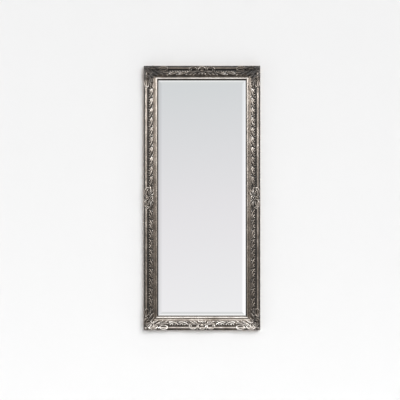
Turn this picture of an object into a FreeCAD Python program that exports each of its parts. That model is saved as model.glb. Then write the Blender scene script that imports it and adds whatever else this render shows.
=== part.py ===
import FreeCAD, Part

import math
import os
import sys

import Sketcher

# Framed wall mirror, upright, in millimetres. X runs across, Z runs up and Y runs from the front to the wall.
# The wall is the plane Y = 0 and the origin lies on it behind the middle of the glass.
# Every long piece is drawn as the top one, then turned about Y to its own side.
# Across a moulding, "in" is counted from the outline and "up" from the back of the wood to the front.
SIZES = {
    # Whole mirror
    "overall_width": 727,
    "overall_height": 1650,
    "wall_gap": 8,
    # Moulding, from the outline inwards
    "back_setback": 4,
    "side_height": 22,
    "edge_round_width": 8.5,
    "shoulder_height": 35,
    "edge_round_swell": 1.6,
    "bead_width": 15,
    "bead_rise": 7,
    "quirk_slope": 1.5,
    "quirk_width": 6.5,
    "channel_outer_height": 28.5,
    "channel_inner_height": 25,
    "channel_width": 27,
    "reed_width": 3,
    "reed_rise": 1.6,
    "cove_width": 9,
    "cove_end_height": 20.5,
    "cove_hollow": 1.2,
    "lip_width": 3,
    "lip_thickness": 4,
    "rebate_wall": 63,
    # Sight slip
    "slip_clearance": 0.4,
    "slip_joint": 0.6,
    "slip_riser": 3,
    "sight_bead_width": 11,
    "sight_bead_rise": 5.5,
    "sight_step": 2.5,
    "sight_edge_width": 6.9,
    "sight_edge_drop": 3,
    # Glass, pads and backing board
    "glass_thickness": 5,
    "glass_edge_thickness": 2.2,
    "bevel_width": 31,
    "glass_overlap": 7,
    "glass_back_height": 8,
    "lip_clearance": 0.15,
    "pad_thickness": 2,
    "pad_length": 40,
    "pad_depth": 2,
    "board_thickness": 3,
    "board_clearance": 0.6,
    # Retaining tabs and V-nails
    "tab_thickness": 0.8,
    "tab_width": 10,
    "tab_bite": 9,
    "tab_reach": 13,
    "nail_leg": 11,
    "nail_thickness": 1,
    "nail_depth": 12,
    "nail_first": 14,
    "nail_spacing": 17,
    # Strap hangers, their screws and D-rings
    "strap_length": 36,
    "strap_width": 16,
    "strap_thickness": 1.4,
    "strap_hole_radius": 1.9,
    "first_screw": 11,
    "second_screw": 27,
    "axis_height": 3.6,
    "barrel_length": 15,
    "wire_radius": 1.8,
    "ring_clearance": 0.08,
    "ring_inner_width": 18,
    "ring_leg": 3,
    "ring_corner_radius": 3.2,
    "hanger_inset": 34,
    "hanger_drop": 330,
    "screw_head_radius": 3.5,
    "screw_head_slope": 1.2,
    "screw_head_height": 2.2,
    "screw_shank_radius": 1.6,
    "screw_point": 3,
    "screw_length": 16,
    "screw_clearance": 0.05,
    # Wall bumpers
    "bumper_width": 20,
    "bumper_face_width": 15,
    "bumper_inset": 36,
    "bumper_drop": 90,
    # Running leaves
    "run_clearance": 0.3,
    "strip_rise": 4,
    "leaf_height": 8,
    # Ornaments
    "glue_gap": 0.2,
    "seat_height": 38,
    "ornament_height": 10,
    "ornament_foot": 12,
    "corner_arm_across": 155,
    "corner_arm_down": 140,
    "centre_across": 170,
    "centre_down": 145,
    # One overrun for every cut
    "overrun": 20,
}
TABS_ACROSS = 3
TABS_DOWN = 7
PADS_ACROSS = 2
PADS_DOWN = 2
NAILS_PER_CORNER = 3
LEAVES_ACROSS = 2
LEAVES_DOWN = 10

# Stations of one running leaf: along the pitch, across the channel, half the width and the height
LEAF_SHARES = (
    (0.34, 0.52, 0.25, 0.85),
    (0.70, 0.70, 0.22, 1.00),
    (0.98, 0.80, 0.05, 0.55),
)
# The strip's crown where two leaves meet
PLAIN_SHARES = (0.5, 0.15, 0.12)
# How far the strip's edges stand in from the channel's sides
EDGE_SHARE = 0.02
# Across half the width of a carved form and up to its crest; None is the foot, down inside the moulding
SCROLL_ROOF_SHARES = ((-1.1, None), (-0.5, 1), (0.5, 1), (1.1, None))
LEAF_ROOF_SHARES = ((-1.5, None), (0, 1), (1.5, None))
# Rings of a button from its foot to its top: radius and height
BUTTON_SHARES = ((1, None), (0.85, 0.6), (0.45, 1))
BUTTON_SIDES = 6
WIRE_SIDES = 10
SCREW_SIDES = 8
TIP_SHARE = 0.1
BEND_STEPS = 3
BOW_STEPS = 10
LOOP_SIDES = 8


class Size:
    """A length that knows its value in millimetres and the expression that gives it from the sheet."""

    def __init__(self, value, text):
        self.value = float(value)
        self.text = text

    def __add__(self, other):
        return Size(self.value + value_of(other), f"({self.text} + {text_of(other)})")

    def __sub__(self, other):
        return Size(self.value - value_of(other), f"({self.text} - {text_of(other)})")

    def __mul__(self, factor):
        return Size(self.value * factor, f"({self.text} * {factor})")

    def __truediv__(self, divisor):
        return Size(self.value / divisor, f"({self.text} / {divisor})")

    def __neg__(self):
        return Size(-self.value, f"(0 - {self.text})")


def value_of(length):
    return length.value if isinstance(length, Size) else float(length)


def text_of(length):
    return length.text if isinstance(length, Size) else str(length)


doc = FreeCAD.newDocument("mirror")


def make_sheet():
    """Keeps the driving sizes as plain numbers with an alias each."""
    sheet = doc.addObject("Spreadsheet::Sheet", "sizes")
    for row, (name, value) in enumerate(SIZES.items(), start=1):
        sheet.set(f"A{row}", name)
        sheet.set(f"B{row}", str(value))
        sheet.setAlias(f"B{row}", name)
    doc.recompute()
    return sheet


SHEET = make_sheet()


def dim(name):
    """A named size, read from the sheet."""
    return Size(SHEET.get(name), f"sizes.{name}")


def vector(x, y, z):
    return FreeCAD.Vector(value_of(x), value_of(y), value_of(z))


ZERO = Size(0, "0")
HALF_WIDTH = dim("overall_width") / 2
HALF_HEIGHT = dim("overall_height") / 2
BACK = dim("wall_gap")

# Places across the moulding, counted inwards from the outline
BEAD_START = dim("edge_round_width")
BEAD_END = BEAD_START + dim("bead_width")
CHANNEL_START = BEAD_END + dim("quirk_width")
CHANNEL_END = CHANNEL_START + dim("channel_width")
COVE_START = CHANNEL_END + dim("reed_width")
COVE_END = COVE_START + dim("cove_width")
MOULDING_WIDTH = COVE_END + dim("lip_width")
LIP_UNDERSIDE = dim("cove_end_height") - dim("lip_thickness")
REBATE_WALL = dim("rebate_wall")

# Places across the slip and the glass
SLIP_START = REBATE_WALL + dim("slip_clearance")
SIGHT_BEAD_START = MOULDING_WIDTH + dim("slip_joint")
SIGHT_BEAD_END = SIGHT_BEAD_START + dim("sight_bead_width")
SIGHT_EDGE = SIGHT_BEAD_END + dim("sight_edge_width")
SIGHT_FOOT = LIP_UNDERSIDE + dim("slip_riser")
GLASS_EDGE = SIGHT_EDGE - dim("glass_overlap")
GLASS_BACK = dim("glass_back_height")
GLASS_WALL = GLASS_EDGE - dim("pad_thickness")
BOARD_BACK = GLASS_BACK - dim("board_thickness")
BOARD_EDGE = SLIP_START + dim("board_clearance")


def new_body(label, turn=0):
    """A body whose label names its node, turned about Y to its side of the mirror."""
    body = doc.addObject("PartDesign::Body", label)
    body.Label = label
    body.Placement = turned(turn)
    return body


def new_sketch(body, name, role, offset=None):
    """A sketch on one of the body's own origin planes, pushed along its normal by offset."""
    sketch = body.newObject("Sketcher::SketchObject", name)
    plane = next(item for item in body.Origin.OriginFeatures if item.Role == role)
    sketch.AttachmentSupport = (plane, [""])
    sketch.MapMode = "FlatFace"
    if offset is not None:
        sketch.setExpression(".AttachmentOffset.Base.z", offset.text)
    return sketch


def arc_through(start, middle, end):
    """The arc through three points, and the point numbers that its start and end have in a sketch."""
    centre = Part.Circle(start, middle, end).Center
    circle = Part.Circle(centre, vector(0, 0, 1), (start - centre).Length)
    angles = [math.atan2(point.y - centre.y, point.x - centre.x) for point in (start, end)]
    if (middle - start).cross(end - middle).z > 0:
        return Part.ArcOfCircle(circle, angles[0], angles[1]), 1, 2
    return Part.ArcOfCircle(circle, angles[1], angles[0]), 2, 1


def draw_outline(sketch, corners):
    """Draws a closed chain through bound corners. A corner is (x, y), or (x, y, through) where the edge
    to the next corner is an arc through the bound place that through gives."""
    first = sketch.GeometryCount
    ends = []
    for index, corner in enumerate(corners):
        start = vector(corner[0], corner[1], 0)
        following = corners[(index + 1) % len(corners)]
        end = vector(following[0], following[1], 0)
        if len(corner) == 3:
            edge, tail, head = arc_through(start, vector(*corner[2], 0), end)
        else:
            edge, tail, head = Part.LineSegment(start, end), 1, 2
        sketch.addGeometry(edge, False)
        ends.append((tail, head))
    for index, corner in enumerate(corners):
        edge = first + index
        after = (index + 1) % len(corners)
        sketch.addConstraint(
            Sketcher.Constraint("Coincident", edge, ends[index][1], first + after, ends[after][0])
        )
        place_point(sketch, edge, ends[index][0], corner)
        if len(corner) == 3:
            through = sketch.addGeometry(Part.Point(vector(*corner[2], 0)), True)
            place_point(sketch, through, 1, corner[2])
            sketch.addConstraint(Sketcher.Constraint("PointOnObject", through, 1, edge))


def place_point(sketch, edge, point, place):
    """Binds a point of an edge to its place."""
    bind(sketch, ("DistanceX", -1, 1, edge, point), place[0])
    bind(sketch, ("DistanceY", -1, 1, edge, point), place[1])


def bind(sketch, what, length):
    """Adds a dimension and binds it to its expression."""
    number = sketch.addConstraint(Sketcher.Constraint(*what, length.value))
    sketch.setExpression(f"Constraints[{number}]", length.text)


def draw_rectangle(sketch, left, right, low, high):
    draw_outline(sketch, [(left, low), (right, low), (right, high), (left, high)])


def draw_circle(sketch, x, y, radius):
    circle = Part.Circle(vector(x, y, 0), vector(0, 0, 1), radius.value)
    edge = sketch.addGeometry(circle, False)
    place_point(sketch, edge, 3, (x, y))
    bind(sketch, ("Radius", edge), radius)


def pad(body, sketch, length, midplane=False, backwards=False):
    """Adds material along the sketch's normal, against it, or to both sides of it."""
    feature = body.newObject("PartDesign::Pad", f"{sketch.Name}_pad")
    feature.Profile = sketch
    feature.Midplane = midplane
    feature.Reversed = backwards
    feature.setExpression("Length", length.text)
    doc.recompute()
    return feature


def pocket(body, sketch, length=None):
    """Cuts along the sketch's normal by length, or right through on both sides, and checks that it cut."""
    before = body.Shape.Volume
    feature = body.newObject("PartDesign::Pocket", f"{sketch.Name}_pocket")
    feature.Profile = sketch
    if length is None:
        feature.Type = "ThroughAll"
        feature.Midplane = True
    else:
        feature.Reversed = True
        feature.setExpression("Length", length.text)
    doc.recompute()
    if body.Shape.Volume >= before:
        sys.exit(f"{feature.Name} cuts nothing")
    return feature


def across(half_span, places):
    """Sketch corners on the YZ plane for places on the section of the top member."""
    corners = []
    for inward, upward, *through in places:
        corner = (-(BACK + upward), half_span - inward)
        corners.append(corner + tuple(across(half_span, through)) if through else corner)
    return corners


def halfway(start, end, rise):
    """The place midway between two others, raised by rise."""
    return (start[0] + end[0]) / 2, (start[1] + end[1]) / 2 + rise


def spread(count, length):
    """Evenly spaced places along a length, centred on zero."""
    return [length * ((step + 0.5) / count - 0.5) for step in range(count)]


def moulding_places():
    """The section of the moulding: side, rounded edge, bead, quirk, channel, reed, cove, lip and rebate."""
    side = (ZERO, dim("side_height"))
    bead_start = (BEAD_START, dim("shoulder_height"))
    bead_end = (BEAD_END, dim("shoulder_height"))
    channel_start = dim("channel_outer_height")
    channel_end = dim("channel_inner_height")
    reed_top = channel_end + dim("reed_rise")
    cove_start = (COVE_START, channel_end)
    cove_end = (COVE_END, dim("cove_end_height"))
    edge_swell = halfway(side, bead_start, dim("edge_round_swell"))
    return [
        (dim("back_setback"), ZERO),
        side + ((edge_swell[0] - dim("edge_round_swell"), edge_swell[1]),),
        bead_start + (halfway(bead_start, bead_end, dim("bead_rise")),),
        bead_end,
        (BEAD_END + dim("quirk_slope"), channel_start),
        (CHANNEL_START, channel_start),
        (CHANNEL_END, channel_end),
        (CHANNEL_END, reed_top),
        (COVE_START, reed_top),
        cove_start + (halfway(cove_start, cove_end, -dim("cove_hollow")),),
        cove_end,
        (MOULDING_WIDTH, dim("cove_end_height")),
        (MOULDING_WIDTH, LIP_UNDERSIDE),
        (REBATE_WALL, LIP_UNDERSIDE),
        (REBATE_WALL, ZERO),
    ]


def slip_places():
    """The section of the sight slip: tongue, sight bead, step, sloping sight edge and glass rebate."""
    bevel_rise = (SIZES["glass_thickness"] - SIZES["glass_edge_thickness"]) / SIZES["bevel_width"]
    lip = GLASS_BACK + dim("glass_edge_thickness") + dim("glass_overlap") * bevel_rise + dim("lip_clearance")
    bead_start = (SIGHT_BEAD_START, SIGHT_FOOT)
    bead_end = (SIGHT_BEAD_END, SIGHT_FOOT)
    edge_top = SIGHT_FOOT - dim("sight_step")
    return [
        (SLIP_START, GLASS_BACK),
        (SLIP_START, LIP_UNDERSIDE),
        (SIGHT_BEAD_START, LIP_UNDERSIDE),
        bead_start + (halfway(bead_start, bead_end, dim("sight_bead_rise")),),
        bead_end,
        (SIGHT_BEAD_END, edge_top),
        (SIGHT_EDGE, edge_top - dim("sight_edge_drop")),
        (SIGHT_EDGE, lip),
        (GLASS_WALL, lip),
        (GLASS_WALL, GLASS_BACK),
    ]


def cut_mitres(body, half_length, half_span):
    """Cuts both ends at 45 degrees, from the outer corners inwards."""
    sketch = new_sketch(body, f"{body.Name}_mitres", "XZ_Plane")
    beyond = dim("overrun")
    for side in (1, -1):
        corner = half_length * side
        inner = (half_length - half_span) * side
        draw_outline(
            sketch,
            [
                (corner + beyond * side, half_span + beyond),
                (inner, ZERO),
                (corner + beyond * side, ZERO),
            ],
        )
    pocket(body, sketch)


def draw_nails(sketch, half_length, half_span, rows=(1,)):
    """Draws the angle of each V-nail, its point on the mitre, for the corners above, or below with -1."""
    thick = dim("nail_thickness")
    leg = dim("nail_leg")
    for side in (1, -1):
        for row in rows:
            for number in range(NAILS_PER_CORNER):
                place = dim("nail_first") + dim("nail_spacing") * number
                x = (half_length - place) * side
                z = (half_span - place) * row
                draw_outline(
                    sketch,
                    [
                        (x, z),
                        (x - leg * side, z),
                        (x - leg * side, z - thick * row),
                        (x - thick * side, z - thick * row),
                        (x - thick * side, z - leg * row),
                        (x, z - leg * row),
                    ],
                )


def draw_edge_rows(sketch, count_across, count_down, length, outer, inner):
    """Draws rectangles along all four sides, each of one length, from outer to inner off the outline."""
    half = length / 2
    for side in (1, -1):
        for place in spread(count_across, (HALF_WIDTH - REBATE_WALL) * 2):
            z = [(HALF_HEIGHT - inward) * side for inward in (outer, inner)]
            draw_rectangle(sketch, place - half, place + half, *z)
        for place in spread(count_down, (HALF_HEIGHT - REBATE_WALL) * 2):
            x = [(HALF_WIDTH - inward) * side for inward in (outer, inner)]
            draw_rectangle(sketch, *x, place - half, place + half)


def make_member(label, turn, half_length, half_span, tab_count, screws=()):
    """One mitred length of moulding, with its slots for nails and tabs and its screw holes."""
    body = new_body(label, turn)
    section = new_sketch(body, f"{label}_section", "YZ_Plane")
    draw_outline(section, across(half_span, moulding_places()))
    pad(body, section, half_length * 2, midplane=True)
    cut_mitres(body, half_length, half_span)
    nails = new_sketch(body, f"{label}_nail_slots", "XZ_Plane", BACK)
    draw_nails(nails, half_length, half_span)
    pocket(body, nails, dim("nail_depth"))
    tabs = new_sketch(body, f"{label}_tab_slots", "XZ_Plane", BACK + BOARD_BACK - dim("tab_thickness"))
    wall = half_span - REBATE_WALL
    for place in spread(tab_count, (half_length - REBATE_WALL) * 2):
        half_tab = dim("tab_width") / 2
        draw_rectangle(tabs, place - half_tab, place + half_tab, wall, wall + dim("tab_bite"))
    pocket(body, tabs, dim("tab_thickness"))
    if screws:
        holes = new_sketch(body, f"{label}_screw_holes", "XZ_Plane", BACK)
        for x, z in screws:
            draw_circle(holes, x, z, dim("screw_shank_radius") + dim("screw_clearance"))
        pocket(body, holes, dim("screw_length"))
    return body


def make_slip(label, turn, half_length, half_span):
    """One mitred length of the sight slip."""
    body = new_body(label, turn)
    section = new_sketch(body, f"{label}_section", "YZ_Plane")
    draw_outline(section, across(half_span, slip_places()))
    pad(body, section, half_length * 2, midplane=True)
    cut_mitres(body, half_length, half_span)
    return body


def make_glass():
    """The mirror plate, its front edges bevelled by one slanting chamfer."""
    body = new_body("mirror_glass")
    sketch = new_sketch(body, "glass_outline", "XZ_Plane", BACK + GLASS_BACK)
    x = HALF_WIDTH - GLASS_EDGE
    z = HALF_HEIGHT - GLASS_EDGE
    draw_rectangle(sketch, -x, x, -z, z)
    plate = pad(body, sketch, dim("glass_thickness"))
    front = min(plate.Shape.Faces, key=lambda face: face.CenterOfMass.y)
    number = next(i for i, face in enumerate(plate.Shape.Faces, start=1) if face.isSame(front))
    bevel = body.newObject("PartDesign::Chamfer", "glass_bevel")
    bevel.Base = (plate, [f"Face{number}"])
    bevel.ChamferType = "Two distances"
    drop = dim("glass_thickness") - dim("glass_edge_thickness")
    bevel.setExpression("Size", drop.text)
    bevel.setExpression("Size2", dim("bevel_width").text)
    doc.recompute()
    return body


def make_board():
    """The backing board, which closes the rebate behind the glass and the slips."""
    body = new_body("backing_board")
    sketch = new_sketch(body, "board_outline", "XZ_Plane", BACK + BOARD_BACK)
    x = HALF_WIDTH - BOARD_EDGE
    z = HALF_HEIGHT - BOARD_EDGE
    draw_rectangle(sketch, -x, x, -z, z)
    pad(body, sketch, dim("board_thickness"))
    return body


def make_tabs():
    """The retaining tabs, driven into the rebate wall and lying on the back of the board."""
    body = new_body("retaining_tabs")
    sketch = new_sketch(body, "tab_outlines", "XZ_Plane", BACK + BOARD_BACK - dim("tab_thickness"))
    outer = REBATE_WALL - dim("tab_bite")
    inner = REBATE_WALL + dim("tab_reach")
    draw_edge_rows(sketch, TABS_ACROSS, TABS_DOWN, dim("tab_width"), outer, inner)
    pad(body, sketch, dim("tab_thickness"))
    return body


def make_setting_pads():
    """The pads between the glass edge and the slips."""
    body = new_body("setting_pads")
    sketch = new_sketch(body, "pad_outlines", "XZ_Plane", BACK + GLASS_BACK)
    draw_edge_rows(sketch, PADS_ACROSS, PADS_DOWN, dim("pad_length"), GLASS_WALL, GLASS_EDGE)
    pad(body, sketch, dim("pad_depth"))
    return body


def make_nails():
    """The V-nails that draw the mitres together from behind."""
    body = new_body("v_nails")
    sketch = new_sketch(body, "nail_outlines", "XZ_Plane", BACK)
    draw_nails(sketch, HALF_WIDTH, HALF_HEIGHT, rows=(1, -1))
    pad(body, sketch, dim("nail_depth"))
    return body


def hanger_places():
    """Name and place of each strap hanger, its ring pointing up."""
    x = HALF_WIDTH - dim("hanger_inset")
    z = HALF_HEIGHT - dim("hanger_drop")
    return [("left", -x, z), ("right", x, z)]


def at_hanger(x, z):
    """The placement of a hanger's own frame: its hinge at z = 0 and the back of the wood at y = 0."""
    return FreeCAD.Placement(vector(x, -BACK, z), FreeCAD.Rotation())


def make_strap(name, placement):
    """One strap: a round-ended plate with two screw holes, curled into a barrel round the ring's bar."""
    body = new_body(f"strap_{name}")
    plate = new_sketch(body, f"plate_{name}", "XZ_Plane")
    half = dim("strap_width") / 2
    foot = dim("strap_length") - half
    corners = [(-half, ZERO), (-half, -foot, (ZERO, -dim("strap_length"))), (half, -foot), (half, ZERO)]
    draw_outline(plate, corners)
    for place in ("first_screw", "second_screw"):
        draw_circle(plate, ZERO, -dim(place), dim("strap_hole_radius"))
    pad(body, plate, dim("strap_thickness"), backwards=True)
    barrel = new_sketch(body, f"barrel_{name}", "YZ_Plane")
    bore = dim("wire_radius") + dim("ring_clearance")
    draw_circle(barrel, dim("axis_height"), ZERO, bore)
    draw_circle(barrel, dim("axis_height"), ZERO, bore + dim("strap_thickness"))
    pad(body, barrel, dim("barrel_length"), midplane=True)
    body.Placement = placement
    return body


def ring_places():
    """The middle of the D-ring's wire: both bends and the bow, which the straight bar closes."""
    half = dim("ring_inner_width").value / 2 + dim("wire_radius").value
    bend = dim("ring_corner_radius").value
    top = bend + dim("ring_leg").value
    arcs = (
        (half - bend, bend, bend, -90, 90, BEND_STEPS),
        (0, top, half, 0, 180, BOW_STEPS),
        (bend - half, bend, bend, 180, 90, BEND_STEPS),
    )
    places = []
    for x, z, radius, first, sweep, steps in arcs:
        for step in range(steps + 1):
            turn = math.radians(first + sweep * step / steps)
            places.append((x + radius * math.cos(turn), z + radius * math.sin(turn)))
    return places


def make_ring(name, placement):
    """One D-ring, bent from wire, its straight bar lying on the hinge axis."""
    places = ring_places()
    depth = dim("axis_height").value
    radius = dim("wire_radius").value
    rings = []
    for index, (x, z) in enumerate(places):
        before = places[index - 1]
        after = places[(index + 1) % len(places)]
        reach = math.dist(before, after)
        normal = ((after[1] - before[1]) / reach, (before[0] - after[0]) / reach)
        ring = []
        for side in range(WIRE_SIDES):
            turn = math.tau * side / WIRE_SIDES
            out = radius * math.cos(turn)
            ring.append(vector(x + normal[0] * out, depth + radius * math.sin(turn), z + normal[1] * out))
        rings.append(ring)
    feature = set_feature(f"ring_{name}", flat_sided(rings, closed=True))
    feature.Placement = placement
    return feature


def make_hanger_screws():
    """The wood screws of both straps, one in every hole: point, shank and sloping head."""
    seat = dim("strap_thickness").value
    shank = dim("screw_shank_radius").value
    head = dim("screw_head_radius").value
    tip = seat - dim("screw_length").value
    steps = [
        (shank * TIP_SHARE, tip),
        (shank, tip + dim("screw_point").value),
        (shank, seat),
        (head, seat),
        (head - dim("screw_head_slope").value, seat + dim("screw_head_height").value),
    ]
    rings = []
    for radius, depth in steps:
        turns = [math.tau * side / SCREW_SIDES for side in range(SCREW_SIDES)]
        rings.append([vector(radius * math.cos(turn), depth, radius * math.sin(turn)) for turn in turns])
    copies = []
    for _, x, z in hanger_places():
        for place in ("first_screw", "second_screw"):
            copy = flat_sided(rings).removeSplitter()
            copy.Placement = at_hanger(x, z - dim(place))
            copies.append(copy)
    return set_feature("hanger_screws", Part.makeCompound(copies))


def set_feature(label, shape):
    """An object that holds a shape worked out in this file."""
    feature = doc.addObject("Part::Feature", label)
    feature.Label = label
    feature.Shape = shape
    return feature


def make_bumper(name, across_side, up_side):
    """One square rubber bumper, tapered to its face against the wall."""
    bumper = doc.addObject("Part::Wedge", f"bumper_{name}")
    bumper.Label = f"bumper_{name}"
    x = (HALF_WIDTH - dim("bumper_inset")) * across_side
    z = (HALF_HEIGHT - dim("bumper_drop")) * up_side
    foot = dim("bumper_width") / 2
    face = dim("bumper_face_width") / 2
    edges = {"Xmin": x - foot, "Xmax": x + foot, "Zmin": z - foot, "Zmax": z + foot}
    edges |= {"X2min": x - face, "X2max": x + face, "Z2min": z - face, "Z2max": z + face}
    edges |= {"Ymin": -BACK, "Ymax": ZERO}
    for edge, place in edges.items():
        bumper.setExpression(edge, place.text)
    doc.recompute()
    return bumper


def channel_place(inward_share, height):
    """A place over the ornament channel, whose floor slopes down towards the glass."""
    fall = dim("channel_outer_height").value - dim("channel_inner_height").value
    inward = CHANNEL_START.value + dim("channel_width").value * inward_share
    return inward, dim("channel_outer_height").value - fall * inward_share + height


def leaf_section(inward, half_width, height):
    """The section of the running leaves: the strip's edges and shoulders with the leaf's ridge between."""
    rise = dim("strip_rise").value
    return [
        channel_place(EDGE_SHARE, 0),
        channel_place(EDGE_SHARE, rise / 2),
        channel_place(inward - half_width, rise),
        channel_place(inward, rise + dim("leaf_height").value * height),
        channel_place(inward + half_width, rise),
        channel_place(1 - EDGE_SHARE, rise / 2),
        channel_place(1 - EDGE_SHARE, 0),
    ]


def make_run(label, turn, half_span, start, end, count, direction):
    """One cast strip of running leaves, bedded in the channel from start to end along the member."""
    first = (start + dim("run_clearance")).value
    pitch = (end - start - dim("run_clearance") * 2).value / count
    plain = leaf_section(*PLAIN_SHARES)
    rings = []
    for number in range(count):
        stations = [(0, plain)] + [(along, leaf_section(*shape)) for along, *shape in LEAF_SHARES]
        rings += [(first + pitch * (number + along), section) for along, section in stations]
    rings.append((first + pitch * count, plain))
    lay = top_lay(half_span)
    strip = flat_sided([[lay(along * direction, *place) for place in section] for along, section in rings])
    feature = set_feature(label, strip.removeSplitter())
    feature.Placement = turned(turn)
    return feature


def top_lay(half_span):
    """A function that lays places along and across the top member, and heights over the back."""
    return lambda along, inward, height: vector(along, -(BACK.value + height), half_span.value - inward)


def turned(turn):
    """The placement of a piece turned about Y to its side of the mirror."""
    return FreeCAD.Placement(vector(0, 0, 0), FreeCAD.Rotation(vector(0, 1, 0), turn))


def make_runs():
    """The eight strips, each with its leaves pointing from a centre ornament to a corner."""
    rail = (dim("centre_across") / 2, HALF_WIDTH - dim("corner_arm_across"), LEAVES_ACROSS)
    stile = (dim("centre_down") / 2, HALF_HEIGHT - dim("corner_arm_down"), LEAVES_DOWN)
    make_run("leaf_run_top_left", 0, HALF_HEIGHT, *rail, -1)
    make_run("leaf_run_top_right", 0, HALF_HEIGHT, *rail, 1)
    make_run("leaf_run_bottom_left", 180, HALF_HEIGHT, *rail, 1)
    make_run("leaf_run_bottom_right", 180, HALF_HEIGHT, *rail, -1)
    make_run("leaf_run_left_upper", -90, HALF_WIDTH, *stile, 1)
    make_run("leaf_run_left_lower", -90, HALF_WIDTH, *stile, -1)
    make_run("leaf_run_right_upper", 90, HALF_WIDTH, *stile, -1)
    make_run("leaf_run_right_lower", 90, HALF_WIDTH, *stile, 1)


# Carved forms of the ornaments, given station by station. A station is its place along the arm, its place in
# from the outline, half its width and the height of its crest; all but the first are shares of the moulding.
SHELL_SHARES = (
    ((0.68, 0.68, 0.08, 0.7), (0.42, 0.42, 0.15, 1.0), (0.21, 0.21, 0.15, 1.0), (0.08, 0.08, 0.05, 0.7)),
)
SIDE_LOBE_SHARES = (
    ((0.72, 0.62, 0.07, 0.6), (0.58, 0.34, 0.12, 0.95), (0.48, 0.17, 0.11, 0.95), (0.43, 0.07, 0.04, 0.6)),
    ((0.76, 0.64, 0.07, 0.6), (0.88, 0.46, 0.11, 0.9), (0.90, 0.30, 0.06, 0.7)),
)
CORNER_BUTTON_SHARES = ((0.66, 0.66, 0.14, 1.1),)
ARM_SCROLL_SHARES = (
    (
        (0.20, 0.34, 0.045, 0.85),
        (0.27, 0.16, 0.07, 1.0),
        (0.38, 0.11, 0.075, 1.0),
        (0.49, 0.18, 0.07, 1.0),
        (0.53, 0.31, 0.06, 0.95),
        (0.48, 0.41, 0.055, 0.9),
        (0.41, 0.37, 0.05, 0.85),
    ),
)
ARM_LEAF_SHARES = (
    ((0.36, 0.50, 0.07, 0.7), (0.47, 0.62, 0.13, 0.95), (0.56, 0.74, 0.10, 0.85), (0.61, 0.84, 0.03, 0.5)),
    ((0.50, 0.40, 0.07, 0.8), (0.64, 0.54, 0.13, 1.0), (0.75, 0.68, 0.11, 0.85), (0.80, 0.82, 0.03, 0.5)),
    ((0.60, 0.46, 0.07, 0.8), (0.80, 0.54, 0.13, 0.95), (0.92, 0.56, 0.09, 0.8), (0.99, 0.52, 0.02, 0.5)),
)
ARM_BUTTON_SHARES = ((0.60, 0.22, 0.115, 1.0),)
ARM_LOOP_SHARES = ((0.80, 0.26, 0.16, 0.17, 0.06, 1.0),)
RAIL_BUTTON_SHARES = ((0, 0.45, 0.18, 1.2),)
RAIL_ARCH_SHARES = (
    (
        (-0.27, 0.52, 0.05, 0.8),
        (-0.25, 0.30, 0.06, 1.0),
        (-0.13, 0.15, 0.065, 1.0),
        (0, 0.10, 0.07, 1.0),
        (0.13, 0.15, 0.065, 1.0),
        (0.25, 0.30, 0.06, 1.0),
        (0.27, 0.52, 0.05, 0.8),
    ),
)
RAIL_LOBE_SHARES = (((0, 0.56, 0.08, 0.9), (0, 0.74, 0.11, 0.9), (0, 0.90, 0.03, 0.5)),)
RAIL_SCROLL_SHARES = (
    (
        (0.38, 0.44, 0.05, 0.85),
        (0.42, 0.25, 0.06, 1.0),
        (0.54, 0.15, 0.07, 1.0),
        (0.72, 0.14, 0.07, 1.0),
        (0.87, 0.23, 0.06, 1.0),
        (0.90, 0.36, 0.055, 0.9),
        (0.81, 0.43, 0.05, 0.85),
    ),
)
RAIL_LEAF_SHARES = (
    ((0.06, 0.50, 0.06, 0.8), (0.36, 0.49, 0.12, 1.0), (0.64, 0.53, 0.11, 0.9), (0.92, 0.50, 0.02, 0.5)),
    ((0.05, 0.55, 0.06, 0.8), (0.21, 0.70, 0.10, 0.9), (0.28, 0.84, 0.03, 0.5)),
    ((0.38, 0.50, 0.06, 0.8), (0.52, 0.66, 0.10, 0.85), (0.64, 0.78, 0.03, 0.5)),
)
STILE_BUTTON_SHARES = ((0, 0.26, 0.14, 1.0), (0, 0.60, 0.13, 1.2))
STILE_LOOP_SHARES = ((0, 0.60, 0.15, 0.15, 0.05, 1.0),)
STILE_SCROLL_SHARES = (
    (
        (0.07, 0.50, 0.05, 0.85),
        (0.15, 0.28, 0.06, 1.0),
        (0.32, 0.15, 0.07, 1.0),
        (0.60, 0.14, 0.07, 1.0),
        (0.83, 0.22, 0.06, 1.0),
        (0.88, 0.36, 0.055, 0.9),
        (0.78, 0.44, 0.05, 0.85),
    ),
)
STILE_LEAF_SHARES = (
    ((0.10, 0.54, 0.06, 0.8), (0.32, 0.46, 0.10, 0.95), (0.54, 0.42, 0.03, 0.6)),
    ((0.12, 0.62, 0.06, 0.8), (0.40, 0.64, 0.12, 1.0), (0.70, 0.62, 0.09, 0.85), (0.96, 0.54, 0.02, 0.5)),
    ((0.10, 0.68, 0.06, 0.8), (0.32, 0.80, 0.09, 0.85), (0.48, 0.88, 0.03, 0.5)),
)


def seat_height(inward):
    """Height of the line that the carved forms rise from: over the bead, the channel and the cove."""
    line = [
        ((BEAD_START + BEAD_END) / 2, dim("seat_height")),
        (CHANNEL_START, dim("channel_outer_height")),
        (CHANNEL_END, dim("channel_inner_height")),
        (COVE_END, dim("cove_end_height")),
    ]
    line = [(place.value, height.value) for place, height in line]
    if inward <= line[0][0]:
        return line[0][1]
    for (start, high), (end, low) in zip(line, line[1:]):
        if inward <= end:
            return high + (low - high) * (inward - start) / (end - start)
    return line[-1][1]


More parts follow.
